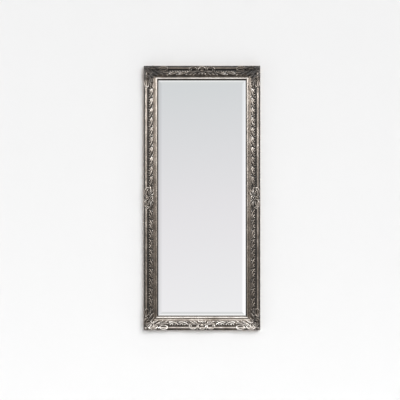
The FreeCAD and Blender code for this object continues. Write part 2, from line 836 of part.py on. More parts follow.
class Carving:
    """The forms of one ornament, drawn in plan and raised over the moulding.

    lay turns two plan places and a height into a point; inward turns two plan places into the distance
    from the outline; scales are the lengths that plan shares are taken of.
    """

    def __init__(self, lay, inward):
        self.lay = lay
        self.inward = inward
        self.band = MOULDING_WIDTH.value
        self.solids = []

    def lift(self, place, aside, rise, crest, lowest):
        """The point at a plan place moved aside, at its share of the crest or down at the foot."""
        seat = seat_height(self.inward(*place))
        height = lowest if rise is None else seat + crest * rise
        return self.lay(place[0] + aside[0], place[1] + aside[1], height)

    def foot_height(self, place):
        return seat_height(self.inward(*place)) - value_of(dim("ornament_foot"))

    def ring_across(self, place, way, half_width, crest, roof):
        """The closed section of a form, square to its way in plan."""
        normal = (-way[1], way[0])
        crest = crest * dim("ornament_height").value
        points = []
        for side, rise in roof:
            aside = [side * half_width * self.band * part for part in normal]
            points.append(self.lift(place, aside, rise, crest, self.foot_height(place)))
        return points

    def add_blade(self, stations, length, roof, flip=1, swap=False):
        """Adds one form through its stations; flip mirrors it along the arm and swap trades the axes."""
        places = []
        for along, inward, _, _ in stations:
            place = (along * length * flip, inward * self.band)
            places.append(place[::-1] if swap else place)
        rings = []
        for index, (_, _, half_width, crest) in enumerate(stations):
            before = places[max(index - 1, 0)]
            after = places[min(index + 1, len(places) - 1)]
            reach = math.dist(before, after)
            way = [(end - start) / reach for start, end in zip(before, after)]
            rings.append(self.ring_across(places[index], way, half_width, crest, roof))
        self.solids.append(flat_sided(rings))

    def add_loop(self, shape, length, flip=1, swap=False):
        """Adds one open oval ring."""
        along, inward, half_along, half_inward, half_width, crest = shape
        rings = []
        for step in range(LOOP_SIDES):
            turn = math.tau * step / LOOP_SIDES
            place = (
                (along * length + half_along * self.reach(length) * math.cos(turn)) * flip,
                (inward + half_inward * math.sin(turn)) * self.band,
            )
            way = (
                -half_along * self.reach(length) * math.sin(turn) * flip,
                half_inward * self.band * math.cos(turn),
            )
            if swap:
                place = place[::-1]
                way = way[::-1]
            reach = math.hypot(*way)
            way = [part / reach for part in way]
            rings.append(self.ring_across(place, way, half_width, crest, SCROLL_ROOF_SHARES))
        self.solids.append(flat_sided(rings, closed=True))

    def reach(self, length):
        """The length that an oval's own half length is a share of."""
        return length if length > self.band * 1.5 else self.band

    def add_button(self, shape, length, flip=1, swap=False):
        """Adds one round button."""
        along, inward, radius, crest = shape
        centre = (along * length * flip, inward * self.band)
        if swap:
            centre = centre[::-1]
        rings = []
        for share, rise in BUTTON_SHARES:
            ring = []
            for side in range(BUTTON_SIDES):
                turn = math.tau * (side + 0.5) / BUTTON_SIDES
                aside = [radius * share * self.band * part for part in (math.cos(turn), math.sin(turn))]
                lowest = self.foot_height(centre)
                ring.append(self.lift(centre, aside, rise, crest * dim("ornament_height").value, lowest))
            rings.append(ring)
        self.solids.append(flat_sided(rings))

    def finish(self, beds):
        """One casting of all the forms, hollowed below to sit on the moulding."""
        shape = self.solids[0].multiFuse(self.solids[1:])
        shape = shape.cut(beds)
        return shape.removeSplitter()


def flat_sided(rings, closed=False):
    """A solid with three-cornered faces from ring to ring; open ends are capped."""
    faces = []
    following = rings[1:] + rings[:1] if closed else rings[1:]
    for ring, after in zip(rings, following):
        for index, corner in enumerate(ring):
            turn = (index + 1) % len(ring)
            faces.append(flat_face(corner, ring[turn], after[turn]))
            faces.append(flat_face(corner, after[turn], after[index]))
    if not closed:
        faces += [flat_face(*rings[0]), flat_face(*rings[-1])]
    shell = Part.makeShell(faces)
    shell.sewShape()
    solid = Part.makeSolid(shell)
    if solid.Volume < 0:
        solid.reverse()
    return solid


def flat_face(*corners):
    return Part.Face(Part.makePolygon([*corners, corners[0]]))


def bed_section():
    """The moulding's outside with the glue gap added, its round parts replaced by flats around them."""
    gap = dim("glue_gap").value
    side = dim("side_height").value
    shoulder = dim("shoulder_height").value
    start = BEAD_START.value
    end = BEAD_END.value
    swell = dim("edge_round_swell").value + gap
    middle = (start + end) / 2
    top = shoulder + dim("bead_rise").value + gap
    floor = (dim("channel_outer_height").value + gap, dim("channel_inner_height").value + gap)
    reed = dim("channel_inner_height").value + dim("reed_rise").value + gap
    foot = (COVE_END.value, dim("cove_end_height").value + gap)
    half = (end - start) / 2
    chamfer = half * (2 - math.sqrt(2))
    deep = -dim("overrun").value
    return [
        (-gap, deep),
        (-gap, side),
        (start / 2 - swell, (side + shoulder) / 2 + swell),
        (middle - half - gap, top - chamfer),
        (middle - half + chamfer - gap, top),
        (middle + half - chamfer + gap, top),
        (middle + half + gap, top - chamfer),
        (end + dim("quirk_slope").value + gap, floor[0]),
        (CHANNEL_START.value, floor[0]),
        (CHANNEL_END.value - gap, floor[1]),
        (CHANNEL_END.value - gap, reed),
        (COVE_START.value + gap, reed),
        foot,
        (foot[0] + dim("overrun").value, foot[1]),
        (foot[0] + dim("overrun").value, deep),
    ]


def make_bed(lay, start, end, mitred):
    """A length of the moulding's outside, laid between two places; a mitred start follows the diagonal."""
    rings = []
    for place, slanted in ((start, mitred), (end, False)):
        rings.append([lay(inward if slanted else place, inward, height) for inward, height in bed_section()])
    return flat_sided(rings)


def make_corner():
    """The top left ornament: a shell on the mitre and a scroll, an open loop and leaves along each arm."""

    def lay(across_place, down_place, height):
        x = across_place - HALF_WIDTH.value
        return vector(x, -(BACK.value + height), HALF_HEIGHT.value - down_place)

    def lay_down(down_place, across_place, height):
        return lay(across_place, down_place, height)

    carving = Carving(lay, min)
    band = carving.band
    for form in SHELL_SHARES:
        carving.add_blade(form, band, LEAF_ROOF_SHARES)
    for form in CORNER_BUTTON_SHARES:
        carving.add_button(form, band)
    for name, swap in (("corner_arm_across", False), ("corner_arm_down", True)):
        length = dim(name).value
        for form in SIDE_LOBE_SHARES:
            carving.add_blade(form, band, LEAF_ROOF_SHARES, swap=swap)
        for form in ARM_SCROLL_SHARES:
            carving.add_blade(form, length, SCROLL_ROOF_SHARES, swap=swap)
        for form in ARM_LEAF_SHARES:
            carving.add_blade(form, length, LEAF_ROOF_SHARES, swap=swap)
        for form in ARM_BUTTON_SHARES:
            carving.add_button(form, length, swap=swap)
        for form in ARM_LOOP_SHARES:
            carving.add_loop(form, length, swap=swap)
    far = dim("corner_arm_across").value + dim("overrun").value
    beds = [make_bed(lay, 0, far, True), make_bed(lay_down, 0, far, True)]
    return set_feature("ornament_top_left", carving.finish(beds))


def make_centre(label, half_span, length, forms, turn):
    """A centre ornament, the same on both sides of its middle, drawn at the top and turned to its side."""
    buttons, loops, whole_scrolls, whole_leaves, scrolls, leaves = forms

    lay = top_lay(half_span)
    carving = Carving(lay, lambda _, inward: inward)
    for form in buttons:
        carving.add_button(form, length)
    for form in loops:
        carving.add_loop(form, length)
    for form in whole_scrolls:
        carving.add_blade(form, length, SCROLL_ROOF_SHARES)
    for form in whole_leaves:
        carving.add_blade(form, length, LEAF_ROOF_SHARES)
    for flip in (1, -1):
        for form in scrolls:
            carving.add_blade(form, length, SCROLL_ROOF_SHARES, flip)
        for form in leaves:
            carving.add_blade(form, length, LEAF_ROOF_SHARES, flip)
    far = length + dim("overrun").value
    feature = set_feature(label, carving.finish([make_bed(lay, -far, far, False)]))
    feature.Placement = turned(turn)
    return feature


def mirror_of(source, label, normal):
    """The same casting on the other side of the mirror's middle."""
    feature = doc.addObject("Part::Mirroring", label)
    feature.Label = label
    feature.Source = source
    feature.Normal = normal
    doc.recompute()
    return feature


def make_ornaments():
    """The four corner and four centre ornaments."""
    corner = make_corner()
    top_right = mirror_of(corner, "ornament_top_right", vector(1, 0, 0))
    mirror_of(corner, "ornament_bottom_left", vector(0, 0, 1))
    mirror_of(top_right, "ornament_bottom_right", vector(0, 0, 1))
    rail_forms = (
        RAIL_BUTTON_SHARES, (), RAIL_ARCH_SHARES, RAIL_LOBE_SHARES, RAIL_SCROLL_SHARES, RAIL_LEAF_SHARES
    )
    rail_length = dim("centre_across").value / 2
    top = make_centre("ornament_top_middle", HALF_HEIGHT, rail_length, rail_forms, 0)
    mirror_of(top, "ornament_bottom_middle", vector(0, 0, 1))
    stile_forms = (
        STILE_BUTTON_SHARES, STILE_LOOP_SHARES, (), (), STILE_SCROLL_SHARES, STILE_LEAF_SHARES
    )
    stile_length = dim("centre_down").value / 2
    left = make_centre("ornament_left_middle", HALF_WIDTH, stile_length, stile_forms, -90)
    mirror_of(left, "ornament_right_middle", vector(1, 0, 0))


def stile_screws(side):
    """The screws of one stile in that member's own frame, before it is turned to its side."""
    found = []
    for _, x, z in hanger_places():
        if x.value * side > 0:
            for name in ("first_screw", "second_screw"):
                found.append(((z - dim(name)) * -side, x * side))
    return found


def main():
    make_member("top_rail", 0, HALF_WIDTH, HALF_HEIGHT, TABS_ACROSS)
    make_member("bottom_rail", 180, HALF_WIDTH, HALF_HEIGHT, TABS_ACROSS)
    make_member("left_stile", -90, HALF_HEIGHT, HALF_WIDTH, TABS_DOWN, stile_screws(-1))
    make_member("right_stile", 90, HALF_HEIGHT, HALF_WIDTH, TABS_DOWN, stile_screws(1))
    make_slip("top_slip", 0, HALF_WIDTH, HALF_HEIGHT)
    make_slip("bottom_slip", 180, HALF_WIDTH, HALF_HEIGHT)
    make_slip("left_slip", -90, HALF_HEIGHT, HALF_WIDTH)
    make_slip("right_slip", 90, HALF_HEIGHT, HALF_WIDTH)
    make_glass()
    make_setting_pads()
    make_board()
    make_tabs()
    make_nails()
    for name, x, z in hanger_places():
        make_strap(name, at_hanger(x, z))
        make_ring(name, at_hanger(x, z))
    make_hanger_screws()
    for up_name, up_side in (("top", 1), ("bottom", -1)):
        for across_name, across_side in (("left", -1), ("right", 1)):
            make_bumper(f"{up_name}_{across_name}", across_side, up_side)
    make_runs()
    make_ornaments()
    doc.recompute()
    write_parts()


def write_parts():
    """Checks every object and writes each node's solids."""
    for item in doc.Objects:
        if "Invalid" in item.State or "Error" in item.State:
            sys.exit(f"{item.Name} failed: {item.State}")
    nodes = [
        item
        for item in doc.Objects
        if item.isDerivedFrom("PartDesign::Body") or item.TypeId in ("Part::Feature", "Part::Mirroring", "Part::Wedge")
    ]
    for item in nodes:
        if item.Shape.isNull() or not item.Shape.isValid():
            sys.exit(f"{item.Label} has no valid shape")
    os.makedirs("parts", exist_ok=True)
    for item in nodes:
        item.Shape.exportStep(f"parts/{item.Label}.step")
        box = item.Shape.BoundBox
        corners = [round(value, 1) for value in (box.XMin, box.YMin, box.ZMin, box.XMax, box.YMax, box.ZMax)]
        print(item.Label, len(item.Shape.Solids), round(item.Shape.Volume), corners)


main()
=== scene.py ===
"""The look of an ornate rectangular wall mirror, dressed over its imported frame.

Lengths are metres. X runs across, Z runs up and Y runs from the front of the mirror to the wall behind it.
Across the moulding, "inward" is counted from the outline and "height" from the back of the wood.
"""

from __future__ import annotations

import cmath
import logging
import math
from collections.abc import Callable, Iterator, Sequence
from contextlib import contextmanager
from dataclasses import dataclass, field
from enum import Enum

import bpy
import numpy as np
from bpy.types import Material, NodeSocket, Object, World
from mathutils import Matrix, Vector

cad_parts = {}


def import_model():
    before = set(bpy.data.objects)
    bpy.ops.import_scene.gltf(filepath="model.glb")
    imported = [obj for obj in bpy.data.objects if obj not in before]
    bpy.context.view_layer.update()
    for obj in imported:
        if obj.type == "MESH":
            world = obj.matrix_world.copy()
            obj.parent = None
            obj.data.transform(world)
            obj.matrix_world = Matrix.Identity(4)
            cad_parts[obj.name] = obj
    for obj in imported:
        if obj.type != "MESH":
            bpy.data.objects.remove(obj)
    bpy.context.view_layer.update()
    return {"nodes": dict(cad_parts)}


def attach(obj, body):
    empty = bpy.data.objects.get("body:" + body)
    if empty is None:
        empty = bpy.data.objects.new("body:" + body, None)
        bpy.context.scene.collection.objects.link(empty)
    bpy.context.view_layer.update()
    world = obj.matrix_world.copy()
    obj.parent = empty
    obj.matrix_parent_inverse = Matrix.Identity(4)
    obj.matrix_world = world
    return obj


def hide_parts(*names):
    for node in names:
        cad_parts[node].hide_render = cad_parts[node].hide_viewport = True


LOG = logging.getLogger("mirror")
MM = 0.001
# Wear of a corner where the timber is bare
BARE = -1.0
Plan = tuple[float, float]
Triple = tuple[float, float, float]
Station = tuple[float, float, float, float]
Path = tuple[Station, ...]
Stops = Sequence[tuple[float, str]]
Inputs = dict[str | int, object]


class Roof(Enum):
    """Cross-sections of carved forms: sideways and upwards, in half widths."""

    SCROLL = (
        (-1.0, -3.0), (-1.0, -0.1), (-0.86, 0.36), (-0.66, 0.56), (-0.52, 0.42), (-0.34, 0.80), (0.0, 1.0),
        (0.34, 0.80), (0.52, 0.42), (0.66, 0.56), (0.86, 0.36), (1.0, -0.1), (1.0, -3.0),
    )
    LEAF = (
        (-1.0, -3.0), (-1.0, -0.2), (-0.90, 0.20), (-0.62, 0.52), (-0.40, 0.50), (-0.22, 0.78), (0.0, 0.62),
        (0.22, 0.78), (0.40, 0.50), (0.62, 0.52), (0.90, 0.20), (1.0, -0.2), (1.0, -3.0),
    )
    STRIP = (
        (-1.0, -0.6), (-1.0, -0.16), (-0.9, -0.02), (0.0, 0.0), (0.9, -0.02), (1.0, -0.16), (1.0, -0.6),
    )


class Side(Enum):
    """Turn about Y that takes the top of the mirror to each side, in degrees."""

    TOP = 0
    RIGHT = 90
    BOTTOM = 180
    LEFT = -90

    @property
    def is_rail(self) -> bool:
        """Whether a rail lies there, not a stile."""
        return self in (Side.TOP, Side.BOTTOM)


# Helpers


def srgb(code: str) -> tuple[float, float, float, float]:
    """Turns a hex sRGB colour into linear light.

    Args:
        code: Six hex digits after a hash.

    Returns:
        Red, green and blue in linear light with full alpha.
    """
    parts = [int(code[start : start + 2], 16) / 255 for start in (1, 3, 5)]
    light = [part / 12.92 if part <= 0.04045 else ((part + 0.055) / 1.055) ** 2.4 for part in parts]
    return light[0], light[1], light[2], 1.0


def arc(start: Plan, through: Plan, end: Plan, steps: int) -> list[Plan]:
    """Points along the arc through three places, with the start left out.

    Args:
        start: First place.
        through: A place on the arc.
        end: Last place.
        steps: Number of chords.

    Returns:
        The places after the start.
    """
    first, between, last = complex(*start), complex(*through), complex(*end)
    skew = (last - first) / (between - first)
    centre = first + (between - first) * (skew - abs(skew) ** 2) / (2j * skew.imag)
    ray, halfway = first - centre, between - centre
    sweep = cmath.phase(halfway / ray) + cmath.phase((last - centre) / halfway)
    points = [centre + ray * cmath.rect(1, sweep * step / steps) for step in range(1, steps + 1)]
    return [(point.real, point.imag) for point in points]


def turn(degrees: float, axis: str) -> Matrix:
    """A rotation about X, Y or Z."""
    return Matrix.Rotation(math.radians(degrees), 4, axis)


def select_only(obj: Object) -> None:
    """Selects one object and makes it active.

    Args:
        obj: The object.
    """
    bpy.ops.object.select_all(action="DESELECT")
    obj.select_set(True)
    bpy.context.view_layer.objects.active = obj


def added(operator: Callable[..., set[str]], **settings: object) -> Object:
    """Adds a primitive, a light or a camera while nothing else is selected.

    Args:
        operator: The operator that adds it.
        **settings: What it is added with.

    Returns:
        The new object.
    """
    bpy.ops.object.select_all(action="DESELECT")
    operator(**settings)
    return bpy.context.object


@contextmanager
def editing(obj: Object, kind: str = "VERT", chosen: Sequence[bool] | None = None) -> Iterator[None]:
    """Edit mode, with all of an object or some parts of it selected.

    Args:
        obj: The active object.
        kind: What is selected: VERT, EDGE or FACE.
        chosen: Whether each of these is selected, or None for all.

    Yields:
        Nothing.
    """
    bpy.ops.object.mode_set(mode="EDIT")
    bpy.ops.mesh.select_mode(type=kind)
    bpy.ops.mesh.select_all(action="SELECT" if chosen is None else "DESELECT")
    if chosen is not None:
        bpy.ops.object.mode_set(mode="OBJECT")
        parts = {"VERT": obj.data.vertices, "EDGE": obj.data.edges, "FACE": obj.data.polygons}[kind]
        parts.foreach_set("select", chosen)
        bpy.ops.object.mode_set(mode="EDIT")
    yield
    bpy.ops.object.mode_set(mode="OBJECT")


def extrude(*move: float) -> None:
    """Draws the selection out by a move in X, Y and Z."""
    bpy.ops.mesh.extrude_region_move(TRANSFORM_OT_translate={"value": move})


def apply_modifier(obj: Object, kind: str, **settings: object) -> None:
    """Adds a modifier with its settings and applies it.

    Args:
        obj: The object.
        kind: Modifier type.
        **settings: Values by property name.
    """
    select_only(obj)
    bpy.ops.object.modifier_add(type=kind)
    modifier = obj.modifiers[-1]
    for name, value in settings.items():
        setattr(modifier, name, value)
    bpy.ops.object.modifier_apply(modifier=modifier.name)


def round_edges(obj: Object, width: float, segments: int, degrees: float) -> None:
    """Rounds those edges of an object that are sharper than an angle."""
    limit = {"limit_method": "ANGLE", "angle_limit": math.radians(degrees)}
    apply_modifier(obj, "BEVEL", width=width, segments=segments, **limit)


def smooth(obj: Object, degrees: float) -> None:
    """Shades an object smooth and keeps those edges that are sharper than an angle."""
    select_only(obj)
    bpy.ops.object.shade_smooth_by_angle(angle=math.radians(degrees))


def place_mesh(obj: Object, matrix: Matrix) -> None:
    """Moves an object's mesh, leaving the object at the origin, and keeps its faces outward.

    Args:
        obj: The object.
        matrix: The move.
    """
    obj.data.transform(matrix)
    if matrix.determinant() < 0:
        obj.data.flip_normals()


def join(objects: Sequence[Object], name: str) -> Object:
    """Joins objects into the first of them.

    Args:
        objects: The objects.
        name: Name of the result.

    Returns:
        The joined object.
    """
    select_only(objects[0])
    for obj in objects:
        obj.select_set(True)
    bpy.ops.object.join()
    objects[0].name = objects[0].data.name = name
    return objects[0]


def copy_of(obj: Object, name: str, matrix: Matrix) -> Object:
    """Makes a copy with a mesh of its own, moved by a matrix.

    Args:
        obj: The object to copy.
        name: Name of the copy.
        matrix: The move of its mesh.

    Returns:
        The copy.
    """
    select_only(obj)
    bpy.ops.object.duplicate(linked=False)
    result = bpy.context.object
    result.name = result.data.name = name
    place_mesh(result, matrix)
    return result


def empty_curve(dimensions: str) -> Object:
    """Adds a curve with no splines yet.

    Args:
        dimensions: 2D or 3D.

    Returns:
        The curve object.
    """
    curve = added(bpy.ops.curve.primitive_bezier_curve_add)
    curve.data.splines.clear()
    curve.data.dimensions = dimensions
    return curve


def set_attribute(obj: Object, name: str, values: Sequence[float]) -> None:
    """Stores one number per vertex of a mesh for the materials to read."""
    layer = obj.data.attributes.new(name, "FLOAT", "POINT")
    layer.data.foreach_set("value", np.asarray(values, dtype=np.float32))


def places_of(obj: Object) -> np.ndarray:
    """The places of an object's vertices.

    Args:
        obj: The mesh object.

    Returns:
        One row of X, Y and Z per vertex.
    """
    places = np.empty(len(obj.data.vertices) * 3, dtype=np.float32)
    obj.data.vertices.foreach_get("co", places)
    return places.reshape(-1, 3).astype(np.float64)


def hand_over(piece: Object, node: str, finish: Material, body: str = "frame") -> None:
    """Gives a finished piece its name, its material, its body and the frame node it stands for.

    Args:
        piece: The piece.
        node: The node it replaces.
        finish: Its material.
        body: The body it rides on.
    """
    piece.name = f"{node}_look"
    piece.data.materials.append(finish)
    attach(piece, body)
    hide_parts(node)
    LOG.info("%s: %d faces", piece.name, len(piece.data.polygons))


# Finishes


class NodeBench:
    """The node tree of a material or of the room."""

    def __init__(self, name: str, room: bool = False) -> None:
        """Starts with nothing but the output.

        Args:
            name: Name of the material or the room.
            room: Whether it is the room.
        """
        self.block = (bpy.data.worlds if room else bpy.data.materials).new(name)
        self.block.use_nodes = True
        self.tree = self.block.node_tree
        self.tree.nodes.clear()
        self.output = self.tree.nodes.new(f"ShaderNodeOutput{'World' if room else 'Material'}")

    def add(
        self, kind: str, inputs: Inputs | None = None,
        out: str | int = 0, stops: Stops = (), **settings: object,
    ) -> NodeSocket:
        """Adds a node with its settings and links.

        Args:
            kind: Node type without its prefix.
            inputs: Socket values, or sockets to link from, by input name or number.
            out: Name or number of the output that is wanted.
            stops: Places and hex colours of a colour ramp.
            **settings: Node properties.

        Returns:
            The output.
        """
        node = self.tree.nodes.new(f"ShaderNode{kind}")
        for name, value in settings.items():
            setattr(node, name, value)
        for key, value in (inputs or {}).items():
            if isinstance(value, NodeSocket):
                self.tree.links.new(value, node.inputs[key])
            else:
                node.inputs[key].default_value = value
        if stops:
            elements = node.color_ramp.elements
            for _ in stops[2:]:
                elements.new(0.5)
            for element, (place, code) in zip(elements, stops):
                element.position, element.color = place, srgb(code)
        return node.outputs[out]

    def finish(self, shader: NodeSocket) -> Material | World:
        """Links the shader to the output and gives back the material or the room."""
        self.tree.links.new(shader, self.output.inputs["Surface"])
        return self.block


@dataclass(frozen=True)
class SilverLeaf:
    """Silver leaf laid by hand over brown bole and gesso, waxed with umber and rubbed back.

    Attributes:
        name: Material name.
        brightness: Shift of the whole towards bare leaf.
        relief: How much the carving decides.
        mottling: How much the rubbing varies.
    """

    name: str = "antique_silver_leaf"
    brightness: float = 0.0
    relief: float = 0.85
    mottling: float = 0.5

    def build(self) -> Material:
        """Makes the material.

        Returns:
            The material.
        """
        # To the eye: crests gleam, hollows stay dull and nearly black, and the leaf is dented and speckled
        bench = NodeBench(self.name)
        add = bench.add
        place = add("TexCoord", out="Object")
        # This attribute holds the leaf's real rubbing together with painted light and shade by side and a
        # painted dark sight edge on the slips
        wear_and_painted_light = add("Attribute", out="Fac", attribute_name="wear_and_painted_light")
        # Broad clouds and fine specks vary how far the wax is polished off
        clouds = add("TexNoise", {"Vector": place, "Scale": 1 / (45 * MM), "Detail": 3, "Roughness": 0.55})
        specks = add("TexNoise", {"Vector": place, "Scale": 1 / (6 * MM), "Detail": 5, "Roughness": 0.7})
        mixed = add("Mix", {0: 0.4, 2: clouds, 3: specks})
        varied = {0: mixed, 1: 2 * self.mottling, 2: self.brightness - self.mottling}
        rub = add("Math", varied, operation="MULTIPLY_ADD")
        bare = add("Math", {0: wear_and_painted_light, 1: self.relief, 2: rub}, operation="MULTIPLY_ADD", use_clamp=True)
        stops = ((0.0, "#14110d"), (0.22, "#2f2821"), (0.48, "#6a6056"), (0.75, "#a39c95"), (1.0, "#dcd9d5"))
        leaf = add("ValToRGB", {0: bare}, stops=stops)
        # Red-brown bole shows where the leaf is worn through
        flaws = add("TexNoise", {"Vector": place, "Scale": 1 / (12 * MM), "Detail": 6, "Roughness": 0.75})
        worn = add("MapRange", {0: flaws, 1: 0.62, 2: 0.72, 3: 0, 4: 0.35})
        colour = add("Mix", {0: worn, 6: leaf, 7: srgb("#5d463a")}, 2, data_type="RGBA")
        metal = add("MapRange", {0: bare, 1: 0.15, 2: 0.7, 3: 0.15, 4: 0.92})
        polish = add("Math", {0: specks, 1: 0.3, 2: bare}, operation="MULTIPLY_ADD")
        rough = add("MapRange", {0: polish, 1: 0.1, 2: 1.2, 3: 0.62, 4: 0.3})
        # Grit of the gesso under soft dents
        grit = add("TexNoise", {"Vector": place, "Scale": 1 / (1.6 * MM), "Detail": 4, "Roughness": 0.6})
        grain = add("Bump", {"Height": grit, "Distance": 0.12 * MM, "Strength": 0.6})
        swell = add("TexNoise", {"Vector": place, "Scale": 1 / (9 * MM), "Detail": 2, "Roughness": 0.5})
        dents = add("Bump", {"Height": swell, "Distance": 0.5 * MM, "Strength": 0.5, "Normal": grain})
        inputs = {"Base Color": colour, "Metallic": metal, "Roughness": rough, "Normal": dents}
        return bench.finish(add("BsdfPrincipled", inputs))


@dataclass(frozen=True)
class MirrorSilver:
    """Plate glass, silvered on its back."""

    name: str = "silvered_plate_glass"

    def build(self) -> Material:
        """Makes the material.

        Returns:
            The material.
        """
        # To the eye: a flawless reflection with a trace of green and hardly any haze
        bench = NodeBench(self.name)
        add = bench.add
        place = add("TexCoord", out="Object")
        film = add("TexNoise", {"Vector": place, "Scale": 1 / (350 * MM), "Detail": 2, "Roughness": 0.5})
        haze = add("MapRange", {0: film, 1: 0.4, 2: 0.7, 3: 0.002, 4: 0.012})
        drift = add("TexNoise", {"Vector": place, "Scale": 1 / (500 * MM), "Detail": 1, "Roughness": 0.5})
        tint = add("ValToRGB", {0: drift}, stops=((0.0, "#fafcfb"), (1.0, "#fcfcfc")))
        return bench.finish(add("BsdfPrincipled", {"Base Color": tint, "Metallic": 1.0, "Roughness": haze}))


@dataclass(frozen=True)
class Fibreboard:
    """Hardboard, pressed from wood fibres."""

    name: str = "pressed_fibreboard"

    def build(self) -> Material:
        """Makes the material.

        Returns:
            The material.
        """
        # To the eye: matt brown, flecked with short fibres that lie upright, over faint clouds
        bench = NodeBench(self.name)
        add = bench.add
        place = add("TexCoord", out="Object")
        drawn = add("Mapping", {"Vector": place, "Scale": (1, 1, 0.25)})
        fibres = add("TexNoise", {"Vector": drawn, "Scale": 1 / (4 * MM), "Detail": 6, "Roughness": 0.75})
        clouds = add("TexNoise", {"Vector": place, "Scale": 1 / (120 * MM), "Detail": 3, "Roughness": 0.5})
        mixed = add("Mix", {0: 0.4, 2: fibres, 3: clouds})
        colour = add("ValToRGB", {0: mixed}, stops=((0.3, "#5b3f28"), (0.5, "#775538"), (0.7, "#93704c")))
        normal = add("Bump", {"Height": fibres, "Distance": 0.2 * MM, "Strength": 0.7})
        inputs = {"Base Color": colour, "Roughness": 0.72, "Normal": normal}
        return bench.finish(add("BsdfPrincipled", inputs))


@dataclass(frozen=True)
class BarePine:
    """Planed pine, left unfinished.

    Attributes:
        name: Material name.
        stretch: Scale of the grain along each axis.
    """

    name: str = "planed_pine_upright"
    stretch: Triple = (1, 1, 0.03)

    def build(self) -> Material:
        """Makes the material.

        Returns:
            The material.
        """
        # To the eye: straw-coloured and dull, with growth rings and fine pores drawn out along the grain
        bench = NodeBench(self.name)
        add = bench.add
        drawn = add("Mapping", {"Vector": add("TexCoord", out="Object"), "Scale": self.stretch})
        rings = add("TexNoise", {"Vector": drawn, "Scale": 1 / (9 * MM), "Detail": 3, "Roughness": 0.55})
        pores = add("TexNoise", {"Vector": drawn, "Scale": 1 / (1.2 * MM), "Detail": 4, "Roughness": 0.7})
        mixed = add("Mix", {0: 0.3, 2: rings, 3: pores})
        colour = add("ValToRGB", {0: mixed}, stops=((0.34, "#9c7448"), (0.47, "#c09a68"), (0.6, "#d3b183")))
        normal = add("Bump", {"Height": pores, "Distance": 0.1 * MM, "Strength": 0.6})
        inputs = {"Base Color": colour, "Roughness": 0.66, "Normal": normal}
        return bench.finish(add("BsdfPrincipled", inputs))


@dataclass(frozen=True)
class ZincSteel:
    """Pressed steel, plated with bright zinc."""

    name: str = "zinc_plated_steel"

    def build(self) -> Material:
        """Makes the material.

        Returns:
            The material.
        """
        # To the eye: cool light grey, gleaming, with faint crystals and fine upright brush marks
        bench = NodeBench(self.name)
        add = bench.add
        place = add("TexCoord", out="Object")
        spangle = add("TexVoronoi", {"Vector": place, "Scale": 1 / (2.5 * MM)}, "Distance")
        colour = add("ValToRGB", {0: spangle}, stops=((0.0, "#a9adb1"), (0.6, "#c3c6c9")))
        film = add("TexNoise", {"Vector": place, "Scale": 1 / (3 * MM), "Detail": 4, "Roughness": 0.6})
        rough = add("MapRange", {0: film, 1: 0.35, 2: 0.65, 3: 0.24, 4: 0.42})
        drawn = add("Mapping", {"Vector": place, "Scale": (1, 1, 0.2)})
        marks = add("TexNoise", {"Vector": drawn, "Scale": 1 / (0.6 * MM), "Detail": 3, "Roughness": 0.6})
        normal = add("Bump", {"Height": marks, "Distance": 0.03 * MM, "Strength": 0.5})
        inputs = {"Base Color": colour, "Metallic": 1.0, "Roughness": rough, "Normal": normal}
        return bench.finish(add("BsdfPrincipled", inputs))


@dataclass(frozen=True)
class BlackRubber:
    """Moulded black rubber."""

    name: str = "black_rubber"

    def build(self) -> Material:
        """Makes the material.

        Returns:
            The material.
        """
        # To the eye: matt and nearly black, with a dusty bloom and the fine pebble of the mould
        bench = NodeBench(self.name)
        add = bench.add
        place = add("TexCoord", out="Object")
        dust = add("TexNoise", {"Vector": place, "Scale": 1 / (4 * MM), "Detail": 5, "Roughness": 0.7})
        colour = add("ValToRGB", {0: dust}, stops=((0.35, "#17171a"), (0.7, "#2b2b2d")))
        pebble = add("TexNoise", {"Vector": place, "Scale": 1 / (0.8 * MM), "Detail": 3, "Roughness": 0.6})
        normal = add("Bump", {"Height": pebble, "Distance": 0.08 * MM, "Strength": 0.6})
        inputs = {"Base Color": colour, "Roughness": 0.62, "Normal": normal}
        return bench.finish(add("BsdfPrincipled", inputs))


@dataclass(frozen=True)
class Plaster:
    """Trowelled plaster of the room, seen only from its front.

    Attributes:
        name: Material name.
        colour: Hex colour.
    """

    name: str
    colour: str

    def build(self) -> Material:
        """Makes the material.

        Returns:
            The material.
        """
        # To the eye: pale, even and dull, so that only the mirror's shadow shows on it
        bench = NodeBench(self.name)
        add = bench.add
        inputs = {"Base Color": srgb(self.colour), "Roughness": 0.9, "Specular IOR Level": 0.1}
        behind = add("NewGeometry", out="Backfacing")
        surface = {0: behind, 1: add("BsdfPrincipled", inputs), 2: add("BsdfTransparent")}
        return bench.finish(add("MixShader", surface))


# Wooden lengths


@dataclass(frozen=True)
class MirrorSizes:
    """Sizes shared by every sub-assembly.

    Attributes:
        width: Overall width.
        height: Overall height.
        gap: Gap between the wood and the wall.
        band: Width of the moulding.
        crest: Usual height of a carved crest over its seat.
        seat_inward: Places across the moulding where the line that carved forms rise from bends.
        seat_height: Its heights there: on the bead, at both sides of the channel and at the inner edge.
    """

    width: float = 727 * MM
    height: float = 1650 * MM
    gap: float = 8 * MM
    band: float = 72 * MM
    crest: float = 9 * MM
    seat_inward: Station = (16 * MM, 30 * MM, 57 * MM, 69 * MM)
    seat_height: Station = (38 * MM, 28.5 * MM, 25 * MM, 20.5 * MM)

    def seat(self, inward: float | np.ndarray) -> float | np.ndarray:
        """Height of the line that carved forms rise from."""
        return np.interp(inward, self.seat_inward, self.seat_height)

    def lay(self, side: Side) -> Matrix:
        """The move from plan places of a side into the mirror.

        Args:
            side: The side.

        Returns:
            A matrix from (along, inward, height) to (X, Y, Z).
        """
        span = (self.height if side.is_rail else self.width) / 2
        top = Matrix(((1, 0, 0, 0), (0, 0, -1, -self.gap), (0, -1, 0, span), (0, 0, 0, 1)))
        return turn(side.value, "Y") @ top


SIZES = MirrorSizes()


